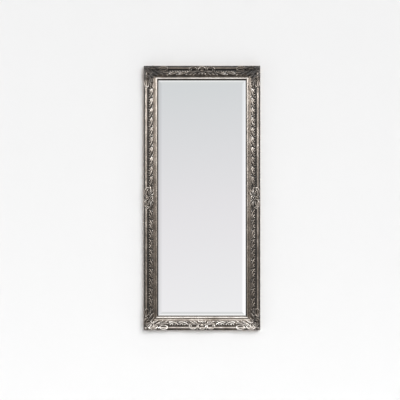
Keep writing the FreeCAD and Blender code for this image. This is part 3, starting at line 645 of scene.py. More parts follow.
@dataclass(frozen=True)
class PaintedLight:
    """How much of the rubbing is left on each side, scaled as painted light and shade: the top rail darker as
    painted shade, and the bottom rail lighter and the stiles darker downwards as painted light from above.

    Attributes:
        top: Share on the top rail.
        bottom: Share on the bottom rail.
        upper: Share at the head of the stiles.
        lower: Share at the foot of the stiles.
        mitre: Share that a casting keeps of that at the two upper corners, which darkens them as painted
            shade.
        painted_bottom_light: Paler tone added all over the bottom rail, painted light from above.
        blend: Half the width over which a casting's rail shares pass into its stile shares.
    """

    top: float = 0.6
    bottom: float = 0.9
    upper: float = 1.1
    lower: float = 0.76
    mitre: float = 0.38
    painted_bottom_light: float = 0.22
    blend: float = 20 * MM

    def apply(self, piece: Object, side: Side | None = None) -> None:
        """Scales the rubbing of a placed piece by where it sits, painting light and shade onto it.

        Args:
            piece: The piece.
            side: Its side, or None for a casting that may bend round a mitre.
        """
        x, _, z = places_of(piece).T
        from_side, from_end = SIZES.width / 2 - np.abs(x), SIZES.height / 2 - np.abs(z)
        if side is None:
            on_rail = np.interp(from_side - from_end, [-self.blend, self.blend], [0, 1])
        else:
            on_rail = np.full(len(x), float(side.is_rail))
        # Painted light: the stiles darker downwards, the top rail darker and the bottom rail lighter, as
        # light from above falls
        reach = SIZES.height / 2 - SIZES.band
        fade = np.interp(z, [-reach, reach], [self.lower, self.upper])
        share = fade + on_rail * (np.where(z < 0, self.bottom, self.top) - fade)
        # Painted shade: the castings darker at the two upper corners
        if side is None:
            far = np.maximum(from_side, SIZES.height / 2 - z)
            share *= np.interp(far, [SIZES.band, 2 * SIZES.band], [self.mitre, 1])
        wear_and_painted_light = np.empty(len(x), dtype=np.float32)
        layer = piece.data.attributes["wear_and_painted_light"].data
        layer.foreach_get("value", wear_and_painted_light)
        # Painted light from above: the bottom rail paler all over
        wear_and_painted_light = wear_and_painted_light * share + on_rail * (z < 0) * self.painted_bottom_light
        layer.foreach_set("value", np.clip(wear_and_painted_light, 0, 1).astype(np.float32))


# Painted light and shade by side for the moulding, the castings and the slips
FACE_PAINTED_LIGHT = PaintedLight()
CARVED_PAINTED_LIGHT = PaintedLight(top=0.78, bottom=1.15)
SLIP_PAINTED_LIGHT = PaintedLight(top=1.3, bottom=1.5, upper=1.0, lower=0.62)


@dataclass
class Section:
    """The outline of a wooden length, with how far each place is rubbed.

    Attributes:
        places: Inward and height of each corner.
        wear_and_painted_light: Rubbing of each corner, from 0 to 1, with painted shade on the slip's sight
            edge.
    """

    places: list[Plan] = field(default_factory=list)
    wear_and_painted_light: list[float] = field(default_factory=list)

    def line(self, *corners: Triple) -> Section:
        """Adds corners.

        Args:
            *corners: Inward and height in millimetres, and rubbing, which can hold painted shade.

        Returns:
            The section itself.
        """
        for inward, height, wear_and_painted_light in corners:
            self.places.append((inward * MM, height * MM))
            self.wear_and_painted_light.append(wear_and_painted_light)
        return self

    def curve(self, through: Plan, end: Plan, steps: int, wear_and_painted_light: Plan) -> Section:
        """Adds an arc from the last corner.

        Args:
            through: A place on the arc in millimetres.
            end: Its end in millimetres.
            steps: Number of chords.
            wear_and_painted_light: Rubbing at the middle and at the end.

        Returns:
            The section itself.
        """
        middle, stop = (tuple(part * MM for part in place) for place in (through, end))
        shares = np.arange(1, steps + 1) / steps
        self.places += arc(self.places[-1], middle, stop, steps)
        self.wear_and_painted_light += np.interp(shares, [0, 0.5, 1], [self.wear_and_painted_light[-1], *wear_and_painted_light]).tolist()
        return self


# Side, round edge, bead, quirk, channel, reed, cove and rebate
MOULDING = (
    Section()
    .line((4, 0, BARE), (4, 0.6, 0.05), (0.3, 20.5, 0.08), (0, 22, 0.1))
    .curve((2.65, 30.1), (8.5, 35), 7, (0.18, 0.05))
    .curve((16, 42), (23.5, 35), 14, (0.85, 0.0))
    .line((25, 28.9, 0.0), (26, 28.5, 0.0), (30, 28.5, 0.12), (56.4, 25.1, 0.3), (57, 25.6, 0.35))
    .curve((58.5, 26.7), (60, 25.6), 6, (0.8, 0.4))
    .line((60.2, 25, 0.3))
    .curve((64.5, 21.55), (69, 20.5), 8, (0.5, 0.55))
    .line((71.6, 20.5, 0.6), (72, 20.1, 0.4), (72, 17, 0.0))
    .line((72, 16.5, BARE), (63, 16.5, BARE), (63, 0, BARE))
)
# Riser, bright bead, and a step and sloping sight edge left unrubbed and dark as painted shade where the slip
# meets the glass
SLIP = (
    Section()
    .line((63.4, 8, BARE), (63.4, 16.5, BARE), (72.6, 16.5, BARE), (72.6, 17, 0.0), (72.6, 19.5, 0.2))
    .curve((78.1, 25), (83.6, 19.5), 14, (1.0, 0.3))
    .line((83.6, 17.1, 0.0), (83.9, 16.9, 0.0), (90.1, 14.2, 0.0), (90.5, 13.8, 0.0), (90.5, 11.05, 0.0))
    .line((81.5, 11, BARE), (81.5, 8, BARE))
)


@dataclass
class WoodenLength:
    """One mitred length of wood with a moulded face.

    Attributes:
        node: The frame node it stands for.
        section: Its section.
        side: Its side of the mirror.
        age: How its rubbing is scaled by side, as painted light and shade.
        finish: Material of its face.
        timber: Material of its back and rebate.
        crease: Angle in degrees from which an edge shows as an edge.
    """

    node: str
    section: Section
    side: Side
    age: PaintedLight
    finish: Material
    timber: Material
    crease: float = 38

    def build(self) -> None:
        """Draws the section as a ring, draws it out along the length and mitres both ends."""
        count = len(self.section.places)
        half_length = (SIZES.width if self.side.is_rail else SIZES.height) / 2
        piece = added(bpy.ops.mesh.primitive_circle_add, vertices=count, radius=1, fill_type="NOTHING")
        with editing(piece):
            extrude(0, 0, 1)
        for index, vertex in enumerate(sorted(piece.data.vertices, key=lambda vertex: vertex.co.z > 0.5)):
            inward, height = self.section.places[index % count]
            reach = half_length - inward
            vertex.co = (reach if index >= count else -reach, inward, height)
        with editing(piece):
            bpy.ops.mesh.fill_holes(sides=0)
            bpy.ops.mesh.normals_make_consistent(inside=False)
        wear_and_painted_light = self.section.wear_and_painted_light * 2
        set_attribute(piece, "wear_and_painted_light", np.maximum(wear_and_painted_light, 0))
        for polygon in piece.data.polygons:
            if len(polygon.vertices) == 4 and all(wear_and_painted_light[vertex] == BARE for vertex in polygon.vertices):
                polygon.material_index = 1
        place_mesh(piece, SIZES.lay(self.side))
        # Painted light and shade by side
        self.age.apply(piece, self.side)
        smooth(piece, self.crease)
        hand_over(piece, self.node, self.finish)
        piece.data.materials.append(self.timber)


@dataclass
class MirrorPlate:
    """The silvered plate with a hand-polished, slightly rounded bevel.

    Attributes:
        finish: Its material.
        edge: Distance of its edge from the outline.
        bevel: Width of the bevel.
        back: Height of its back over the back of the wood.
        thickness: Full thickness.
        edge_thickness: Thickness at the edge.
        swell: Rise of the bevel over a flat one.
        steps: Number of strips across the bevel.
        crease: Angle in degrees that parts the bevel from the flat.
    """

    finish: Material
    edge: float = 83.5 * MM
    bevel: float = 31 * MM
    back: float = 8 * MM
    thickness: float = 5 * MM
    edge_thickness: float = 2.2 * MM
    swell: float = 0.24 * MM
    steps: int = 10
    crease: float = 2.5

    def build(self) -> None:
        """Draws the back as a square, draws it out ring by ring and moves the corners into place."""
        rings = [(self.edge, self.back), (self.edge, self.back + self.edge_thickness)]
        for step in range(1, self.steps + 1):
            share = step / self.steps
            rise = (self.thickness - self.edge_thickness) * share + self.swell * 4 * share * (1 - share)
            rings.append((self.edge + self.bevel * share, self.back + self.edge_thickness + rise))
        corners = []
        for inward, height in rings:
            x, z = SIZES.width / 2 - inward, SIZES.height / 2 - inward
            corners += [(a, -(SIZES.gap + height), b) for a, b in ((-x, -z), (x, -z), (x, z), (-x, z))]
        plate = added(bpy.ops.mesh.primitive_circle_add, vertices=4, radius=1, fill_type="NGON")
        with editing(plate):
            for _ in rings[1:]:
                extrude(0, 0, 1)
        order = sorted(
            plate.data.vertices,
            key=lambda vertex: (round(vertex.co.z), math.atan2(vertex.co.y, vertex.co.x)),
        )
        for vertex, corner in zip(order, corners):
            vertex.co = corner
        with editing(plate):
            bpy.ops.mesh.normals_make_consistent(inside=False)
        smooth(plate, self.crease)
        hand_over(plate, "mirror_glass", self.finish)


# Carved work


@dataclass(frozen=True)
class Motif:
    """Carved forms laid out in shares: along of a length, and the rest of the moulding's width.

    Attributes:
        scrolls: Rounded stems, by stations of along, inward, half width and share of the usual crest.
        leaves: Veined blades, by the same stations.
        rings: Open ovals: along, inward, half length, half width, half width of the rim, crest in mm.
        buttons: Round forms: along, inward, half length, half width, height in mm.
    """

    scrolls: tuple[Path, ...] = ()
    leaves: tuple[Path, ...] = ()
    rings: tuple[tuple[float, ...], ...] = ()
    buttons: tuple[tuple[float, ...], ...] = ()


# The shell on the mitre, and the lobes beside it
MITRE = Motif(
    leaves=(
        ((0.74, 0.74, 0.06, 0.6), (0.52, 0.52, 0.13, 1.0), (0.28, 0.28, 0.17, 1.1),
         (0.13, 0.13, 0.12, 0.95), (0.06, 0.06, 0.04, 0.6)),
    ),
    buttons=((0.68, 0.68, 0.12, 0.12, 11),),
)
LOBES = Motif(
    leaves=(
        ((0.72, 0.62, 0.06, 0.6), (0.58, 0.36, 0.12, 1.0), (0.46, 0.16, 0.13, 1.05),
         (0.38, 0.06, 0.05, 0.6)),
        ((0.78, 0.62, 0.06, 0.6), (0.86, 0.44, 0.11, 0.9), (0.84, 0.27, 0.10, 0.85),
         (0.78, 0.17, 0.04, 0.6)),
    ),
)
# A corner's arm: a C-scroll with its eye, leaves, and an open loop between two beads
ARM = Motif(
    scrolls=(
        ((0.235, 0.37, 0.06, 0.8), (0.225, 0.22, 0.075, 1.0), (0.29, 0.12, 0.09, 1.08),
         (0.38, 0.10, 0.095, 1.1), (0.48, 0.15, 0.09, 1.08), (0.545, 0.27, 0.08, 1.05),
         (0.52, 0.40, 0.07, 1.0), (0.45, 0.42, 0.06, 0.95), (0.41, 0.35, 0.05, 0.9)),
    ),
    leaves=(
        ((0.30, 0.50, 0.07, 0.7), (0.40, 0.64, 0.14, 1.0), (0.49, 0.76, 0.12, 0.9),
         (0.55, 0.87, 0.03, 0.5)),
        ((0.46, 0.46, 0.07, 0.8), (0.60, 0.58, 0.14, 1.05), (0.71, 0.72, 0.12, 0.9),
         (0.77, 0.85, 0.03, 0.5)),
        ((0.58, 0.44, 0.07, 0.8), (0.76, 0.54, 0.13, 1.0), (0.89, 0.60, 0.10, 0.85),
         (0.985, 0.57, 0.02, 0.5)),
        ((0.24, 0.56, 0.06, 0.7), (0.30, 0.74, 0.11, 0.85), (0.34, 0.88, 0.03, 0.5)),
        ((0.60, 0.70, 0.05, 0.6), (0.68, 0.60, 0.07, 0.8), (0.74, 0.48, 0.03, 0.6)),
        ((0.86, 0.68, 0.03, 0.5), (0.92, 0.76, 0.06, 0.6), (0.97, 0.84, 0.02, 0.4)),
    ),
    rings=((0.80, 0.26, 0.155, 0.165, 0.062, 9.6),),
    buttons=(
        (0.445, 0.30, 0.075, 0.075, 9.5), (0.605, 0.21, 0.10, 0.10, 9.5),
        (0.66, 0.44, 0.045, 0.045, 8), (0.94, 0.44, 0.045, 0.045, 8),
    ),
)
# The middle of a rail: a boss under an arch, with scrolls and leaves to both sides
RAIL_HEART = Motif(
    scrolls=(
        ((-0.29, 0.56, 0.05, 0.8), (-0.28, 0.34, 0.07, 1.0), (-0.16, 0.16, 0.08, 1.08),
         (0, 0.10, 0.085, 1.12), (0.16, 0.16, 0.08, 1.08), (0.28, 0.34, 0.07, 1.0),
         (0.29, 0.56, 0.05, 0.8)),
    ),
    leaves=(((0, 0.58, 0.08, 0.9), (0, 0.74, 0.13, 1.0), (0, 0.91, 0.03, 0.5)),),
    buttons=((0, 0.42, 0.19, 0.18, 12.5),),
)
RAIL_SPRAY = Motif(
    scrolls=(
        ((0.37, 0.46, 0.06, 0.85), (0.40, 0.27, 0.075, 1.0), (0.53, 0.15, 0.085, 1.08),
         (0.70, 0.13, 0.085, 1.08), (0.85, 0.20, 0.075, 1.05), (0.93, 0.34, 0.065, 1.0),
         (0.86, 0.45, 0.055, 0.95), (0.77, 0.40, 0.05, 0.9)),
    ),
    leaves=(
        ((0.06, 0.50, 0.06, 0.8), (0.36, 0.50, 0.13, 1.05), (0.66, 0.54, 0.12, 0.95),
         (0.94, 0.52, 0.03, 0.5)),
        ((0.05, 0.56, 0.06, 0.8), (0.20, 0.71, 0.12, 0.95), (0.30, 0.86, 0.03, 0.5)),
        ((0.34, 0.54, 0.06, 0.8), (0.50, 0.69, 0.12, 0.9), (0.63, 0.82, 0.03, 0.5)),
        ((0.62, 0.60, 0.05, 0.7), (0.76, 0.70, 0.08, 0.75), (0.90, 0.78, 0.02, 0.4)),
    ),
    buttons=((0.80, 0.33, 0.07, 0.07, 9.5), (0.33, 0.12, 0.05, 0.05, 8)),
)
# The middle of a stile: a rosette, with scrolls outside and leaves inside
STILE_HEART = Motif(
    rings=((0, 0.60, 0.17, 0.17, 0.055, 10),),
    buttons=((0, 0.26, 0.14, 0.13, 10.5), (0, 0.60, 0.09, 0.09, 11.5)),
)
STILE_SPRAY = Motif(
    scrolls=(
        ((0.07, 0.50, 0.055, 0.85), (0.13, 0.30, 0.07, 1.0), (0.28, 0.16, 0.085, 1.08),
         (0.54, 0.12, 0.09, 1.1), (0.77, 0.18, 0.08, 1.05), (0.90, 0.32, 0.07, 1.0),
         (0.83, 0.45, 0.06, 0.95), (0.71, 0.41, 0.05, 0.9)),
    ),
    leaves=(
        ((0.10, 0.54, 0.06, 0.8), (0.30, 0.45, 0.11, 1.0), (0.52, 0.40, 0.09, 0.95),
         (0.66, 0.30, 0.03, 0.6)),
        ((0.12, 0.62, 0.06, 0.8), (0.40, 0.62, 0.13, 1.05), (0.72, 0.60, 0.11, 0.9),
         (0.97, 0.54, 0.02, 0.5)),
        ((0.10, 0.69, 0.06, 0.8), (0.32, 0.80, 0.11, 0.9), (0.52, 0.88, 0.03, 0.5)),
        ((0.44, 0.70, 0.05, 0.7), (0.58, 0.78, 0.07, 0.75), (0.72, 0.84, 0.02, 0.4)),
    ),
    buttons=((0.76, 0.33, 0.07, 0.07, 9.5), (0.16, 0.12, 0.05, 0.05, 8)),
)


@dataclass
class Form:
    """One long carved form seen in plan.

    Attributes:
        path: Stations: along, inward, half width and crest, all in metres.
        roof: Its cross-section.
        closed: Whether it is a ring.
    """

    path: Sequence[Station]
    roof: Roof
    closed: bool = False


@dataclass
class Carving:
    """A casting of scrolls, leaves and buttons, joined into one skin over the moulding.

    Attributes:
        name: Name of the piece.
        on_corner: Whether it bends round the mitre.
        forms: Its long forms.
        lumps: Its round forms: along, inward, two half widths, height.
        voxel: Grain of the skin.
        depth: How far the skin goes down into the moulding.
        root: How far the middle of a button lies under its seat.
        steps: Steps between two stations of a form.
        ring_stations: Stations of a ring.
        bulge: How far a place stands out of its surroundings where it is rubbed most.
        spread: How many edges away these surroundings reach.
        rise_share: Rubbing by height, at the full crest.
        bulge_share: Rubbing by standing out, at the full bulge.
        wax: What the wax takes off both.
    """

    name: str
    on_corner: bool = False
    forms: list[Form] = field(default_factory=list)
    lumps: list[tuple[float, ...]] = field(default_factory=list)
    voxel: float = 0.9 * MM
    depth: float = 9 * MM
    root: float = 3 * MM
    steps: int = 7
    ring_stations: int = 12
    bulge: float = 0.35 * MM
    spread: int = 6
    rise_share: float = 0.22
    bulge_share: float = 0.95
    wax: float = 0.08

    def seat(self, along: float | np.ndarray, inward: float | np.ndarray) -> float | np.ndarray:
        """Height of the seat at plan places."""
        return SIZES.seat(np.minimum(along, inward) if self.on_corner else inward)

    def lay(self, motif: Motif, length: float, trade: bool = False) -> None:
        """Adds the forms of a motif.

        Args:
            motif: The forms.
            length: Length that along is a share of, less than nothing to lay it the other way.
            trade: Whether to trade the two plan axes.
        """
        band, order = SIZES.band, -1 if trade else 1
        for roof, paths in ((Roof.SCROLL, motif.scrolls), (Roof.LEAF, motif.leaves)):
            for stations in paths:
                path = [(*(along * length, inward * band)[::order], half * band, crest * SIZES.crest)
                        for along, inward, half, crest in stations]
                self.forms.append(Form(path, roof))
        for along, inward, half_length, half_width, rim, crest in motif.rings:
            path = []
            for step in range(self.ring_stations):
                way = cmath.rect(1, math.tau * step / self.ring_stations)
                place = (length * (along + half_length * way.real), band * (inward + half_width * way.imag))
                path.append((*place[::order], rim * band, crest * MM))
            self.forms.append(Form(path, Roof.SCROLL, closed=True))
        for along, inward, wide, deep, height in motif.buttons:
            place, size = (along * length, inward * band), (wide * band, deep * band)
            self.lumps.append((*place[::order], *size[::order], height * MM))

    def curves(self) -> list[Object]:
        """Draws every long form as a curve with its cross-section and turns it into a mesh.

        Returns:
            One mesh object per cross-section.
        """
        meshes = []
        for roof in Roof:
            chosen = [form for form in self.forms if form.roof is roof]
            if not chosen:
                continue
            profile = empty_curve("2D")
            outline = profile.data.splines.new("POLY")
            outline.points.add(len(roof.value) - 1)
            for point, (aside, up) in zip(outline.points, roof.value):
                point.co = (aside, up, 0, 1)
            outline.use_cyclic_u = True
            crown = max(up for _, up in roof.value)
            drawing = empty_curve("3D")
            data = drawing.data
            data.twist_mode = "Z_UP"
            data.bevel_mode = "OBJECT"
            data.bevel_object = profile
            data.use_fill_caps = True
            data.resolution_u = self.steps
            for form in chosen:
                spline = data.splines.new("BEZIER")
                spline.bezier_points.add(len(form.path) - 1)
                spline.use_cyclic_u = form.closed
                spline.radius_interpolation = "CARDINAL"
                for point, (along, inward, half, crest) in zip(spline.bezier_points, form.path):
                    point.co = (along, inward, self.seat(along, inward) + crest - half * crown)
                    point.handle_left_type = point.handle_right_type = "AUTO"
                    point.radius = half
            select_only(drawing)
            bpy.ops.object.convert(target="MESH")
            meshes.append(drawing)
            bpy.data.objects.remove(profile)
        return meshes

    def buttons(self) -> list[Object]:
        """Draws every round form.

        Returns:
            The mesh objects.
        """
        meshes = []
        for along, inward, wide, deep, height in self.lumps:
            ball = added(bpy.ops.mesh.primitive_uv_sphere_add, segments=24, ring_count=12)
            middle = Matrix.Translation((along, inward, self.seat(along, inward) - self.root))
            ball.data.transform(middle @ Matrix.Diagonal((wide, deep, height + self.root, 1)))
            meshes.append(ball)
        return meshes

    def cast(self) -> Object:
        """Joins the forms into one skin, softens it, opens its back and measures how each place is rubbed.

        Returns:
            The casting in plan coordinates.
        """
        piece = join(self.curves() + self.buttons(), self.name)
        apply_modifier(piece, "REMESH", mode="VOXEL", voxel_size=self.voxel)
        apply_modifier(piece, "SMOOTH", factor=0.5, iterations=2)
        along, inward, height = places_of(piece).T
        select_only(piece)
        with editing(piece, "VERT", height < self.seat(along, inward) - self.depth):
            bpy.ops.mesh.delete(type="VERT")
        set_attribute(piece, "wear_and_painted_light", self.rubbing(piece))
        smooth(piece, 60)
        return piece

    def rubbing(self, piece: Object) -> np.ndarray:
        """How far the wax is rubbed off each vertex: most on crests, least in hollows.

        Args:
            piece: The casting in plan coordinates.

        Returns:
            One value from 0 to 1 per vertex.
        """
        mesh = piece.data
        places = places_of(piece)
        normals = np.empty(places.size, dtype=np.float32)
        mesh.vertex_normals.foreach_get("vector", normals)
        ends = np.empty(len(mesh.edges) * 2, dtype=np.int32)
        mesh.edges.foreach_get("vertices", ends)
        one, other = ends.reshape(-1, 2).T
        degree = np.maximum(np.bincount(ends, minlength=len(places)), 1)
        average = places.copy()
        for _ in range(self.spread):
            total = np.zeros_like(average)
            np.add.at(total, one, average[other])
            np.add.at(total, other, average[one])
            average = total / degree[:, None]
        bulge = np.einsum("ij,ij->i", places - average, normals.reshape(-1, 3)) / self.bulge
        along, inward, height = places.T
        rise = (height - self.seat(along, inward)) / SIZES.crest
        rubbed = self.rise_share * np.clip(rise, 0, 1) + self.bulge_share * np.clip(bulge, -1, 1)
        return np.clip(rubbed - self.wax, 0, 1)


@dataclass(kw_only=True)
class CornerOrnament(Carving):
    """The top left casting: a shell on the mitre and an arm along each side.

    Attributes:
        on_corner: Whether it bends round the mitre.
        across: Length of the arm on the rail.
        down: Length of the arm on the stile.
    """

    on_corner: bool = True
    across: float
    down: float

    def __post_init__(self) -> None:
        """Lays out the forms."""
        self.lay(MITRE, SIZES.band)
        for length, trade in ((self.across, False), (self.down, True)):
            self.lay(LOBES, SIZES.band, trade)
            self.lay(ARM, length, trade)


@dataclass(kw_only=True)
class MiddleOrnament(Carving):
    """The casting at the middle of a rail or stile.

    Attributes:
        heart: The forms in its middle.
        heart_length: Length that their places along are shares of.
        spray: The forms to each side.
        half: Half its length.
    """

    heart: Motif
    heart_length: float
    spray: Motif
    half: float

    def __post_init__(self) -> None:
        """Lays out the forms."""
        self.lay(self.heart, self.heart_length)
        for way in (1, -1):
            self.lay(self.spray, way * self.half)


@dataclass(kw_only=True)
class LeafRun(Carving):
    """A strip of running leaves between two ornaments.

    Attributes:
        start: Where it starts along the side.
        end: Where it ends.
        pitches: Number of its pitches.
        gain: Rubbing as a share of the ornaments' own.
        leaves: The leaves of a pitch: share of it, share of the channel, half width and crest in mm.
        leaflets: One on the bead's side and one on the reed's, four of each to a pitch.
        channel: Where the channel starts, and its width.
        strip: Middle, half width and crest of the strip that carries the leaves.
        margin: Bare end of the strip.
        shortest: Least length of a leaf that is carved.
        above: Heights over the seat and the rubbing that they keep: wax stays on the strip.
        across: Places across the moulding and the rubbing that they keep: wax stays along the quirk.
    """

    start: float
    end: float
    pitches: int
    gain: float
    leaves: tuple[Path, ...] = (
        ((0.02, 0.26, 1.6, 6.5), (0.26, 0.50, 5.0, 10.0), (0.52, 0.74, 5.4, 11.5), (0.76, 0.84, 3.6, 10.0),
         (0.94, 0.78, 1.2, 7.0)),
        ((0.46, 0.24, 1.2, 6.0), (0.64, 0.42, 3.4, 8.6), (0.84, 0.58, 3.6, 9.2), (1.02, 0.64, 1.2, 6.5)),
    )
    leaflets: tuple[Path, Path] = (
        ((0.00, 0.32, 1.0, 6.0), (0.09, 0.17, 2.5, 7.4), (0.15, 0.07, 0.9, 4.8)),
        ((0.00, 0.80, 1.0, 5.5), (0.10, 0.90, 2.0, 6.4), (0.17, 0.96, 0.8, 4.0)),
    )
    channel: Plan = (30.5 * MM, 26 * MM)
    strip: Triple = (43.5 * MM, 13 * MM, 1.6 * MM)
    margin: float = 1.5 * MM
    shortest: float = 4 * MM
    above: tuple[Plan, Plan] = ((1.8 * MM, 3.4 * MM), (0.5, 1.0))
    across: tuple[Station, Station] = ((31 * MM, 43 * MM, 50 * MM, 57 * MM), (0.75, 1.05, 1.15, 1.0))

    def __post_init__(self) -> None:
        """Lays out the strip and the leaves."""
        start, end = self.start, self.end
        strip = [(place, *self.strip) for place in (start, (start + end) / 2, end)]
        self.forms.append(Form(strip, Roof.STRIP))
        pitch = (end - start) / self.pitches
        for number in range(self.pitches):
            turns = [(leaf, number) for leaf in self.leaves]
            for quarter in range(4):
                turns += zip(self.leaflets, (number + quarter / 4, number + (quarter + 0.4) / 4))
            for shape, first in turns:
                path = [(min(start + pitch * (first + along), end - self.margin),
                         self.channel[0] + inward * self.channel[1], half * MM, crest * MM)
                        for along, inward, half, crest in shape]
                if path[-1][0] - path[0][0] > self.shortest:
                    self.forms.append(Form(path, Roof.LEAF))

    def rubbing(self, piece: Object) -> np.ndarray:
        """The same rubbing, with more wax left along the quirk and on the strip.

        Args:
            piece: The casting in plan coordinates.

        Returns:
            One value from 0 to 1 per vertex.
        """
        along, inward, height = places_of(piece).T
        share = np.interp(height - self.seat(along, inward), *self.above) * np.interp(inward, *self.across)
        return self.gain * super().rubbing(piece) * share


@dataclass
class CarvedWork:
    """All the castings of the frame.

    Attributes:
        finish: Their material.
        arm_across: Length of a corner's arm on the rail.
        arm_down: Length of a corner's arm on the stile.
        rail_half: Half the length of the rail ornaments.
        stile_half: Half the length of the stile ornaments.
        joint: Gap at both ends of a run.
    """

    finish: Material
    arm_across: float = 155 * MM
    arm_down: float = 140 * MM
    rail_half: float = 85 * MM
    stile_half: float = 72.5 * MM
    joint: float = 0.3 * MM

    def build(self) -> None:
        """Casts each kind once and places it with its mirrored copies."""
        top, left = SIZES.lay(Side.TOP), SIZES.lay(Side.LEFT)
        corner = Matrix.Translation((-SIZES.width / 2, 0, 0)) @ top
        half, joint = self.rail_half, self.joint
        corner_cast = CornerOrnament("corner_casting", across=self.arm_across, down=self.arm_down)
        rail_cast = MiddleOrnament(
            "rail_casting", heart=RAIL_HEART, spray=RAIL_SPRAY, heart_length=half, half=half,
        )
        stile_cast = MiddleOrnament(
            "stile_casting", heart=STILE_HEART, spray=STILE_SPRAY, heart_length=SIZES.band,
            half=self.stile_half,
        )
        end = SIZES.width / 2 - self.arm_across - joint
        rail_run = LeafRun("rail_run", start=half + joint, end=end, pitches=2, gain=1.1)
        end = SIZES.height / 2 - self.arm_down - joint
        stile_run = LeafRun("stile_run", start=self.stile_half + joint, end=end, pitches=10, gain=0.85)
        # Each with its nodes: as it is, mirrored across, mirrored down and both
        for carving, lay, kind, places in (
            (corner_cast, corner, "ornament", ("top_left", "top_right", "bottom_left", "bottom_right")),
            (rail_cast, top, "ornament", ("top_middle", "", "bottom_middle", "")),
            (stile_cast, left, "ornament", ("left_middle", "right_middle", "", "")),
            (rail_run, top, "leaf_run", ("top_right", "top_left", "bottom_right", "bottom_left")),
            (stile_run, left, "leaf_run", ("left_upper", "right_upper", "left_lower", "right_lower")),
        ):
            self.place(carving, lay, kind, places)

    def place(self, carving: Carving, lay: Matrix, kind: str, places: Sequence[str]) -> None:
        """Casts a carving, and places it and its mirrored copies.

        Args:
            carving: The carving.
            lay: The move into its first place.
            kind: How its nodes' names start.
            places: How they end, empty where there is none.
        """
        master = carving.cast()
        place_mesh(master, lay)
        across, down = Matrix.Diagonal((-1, 1, 1, 1)), Matrix.Diagonal((1, 1, -1, 1))
        pieces = [(copy_of(master, place, mirror), place)
                  for place, mirror in zip(places[1:], (across, down, across @ down)) if place]
        for piece, place in (*pieces, (master, places[0])):
            # Painted light and shade by side, and painted shade at the upper corners
            CARVED_PAINTED_LIGHT.apply(piece)
            hand_over(piece, f"{kind}_{place}", self.finish)


# Hardware


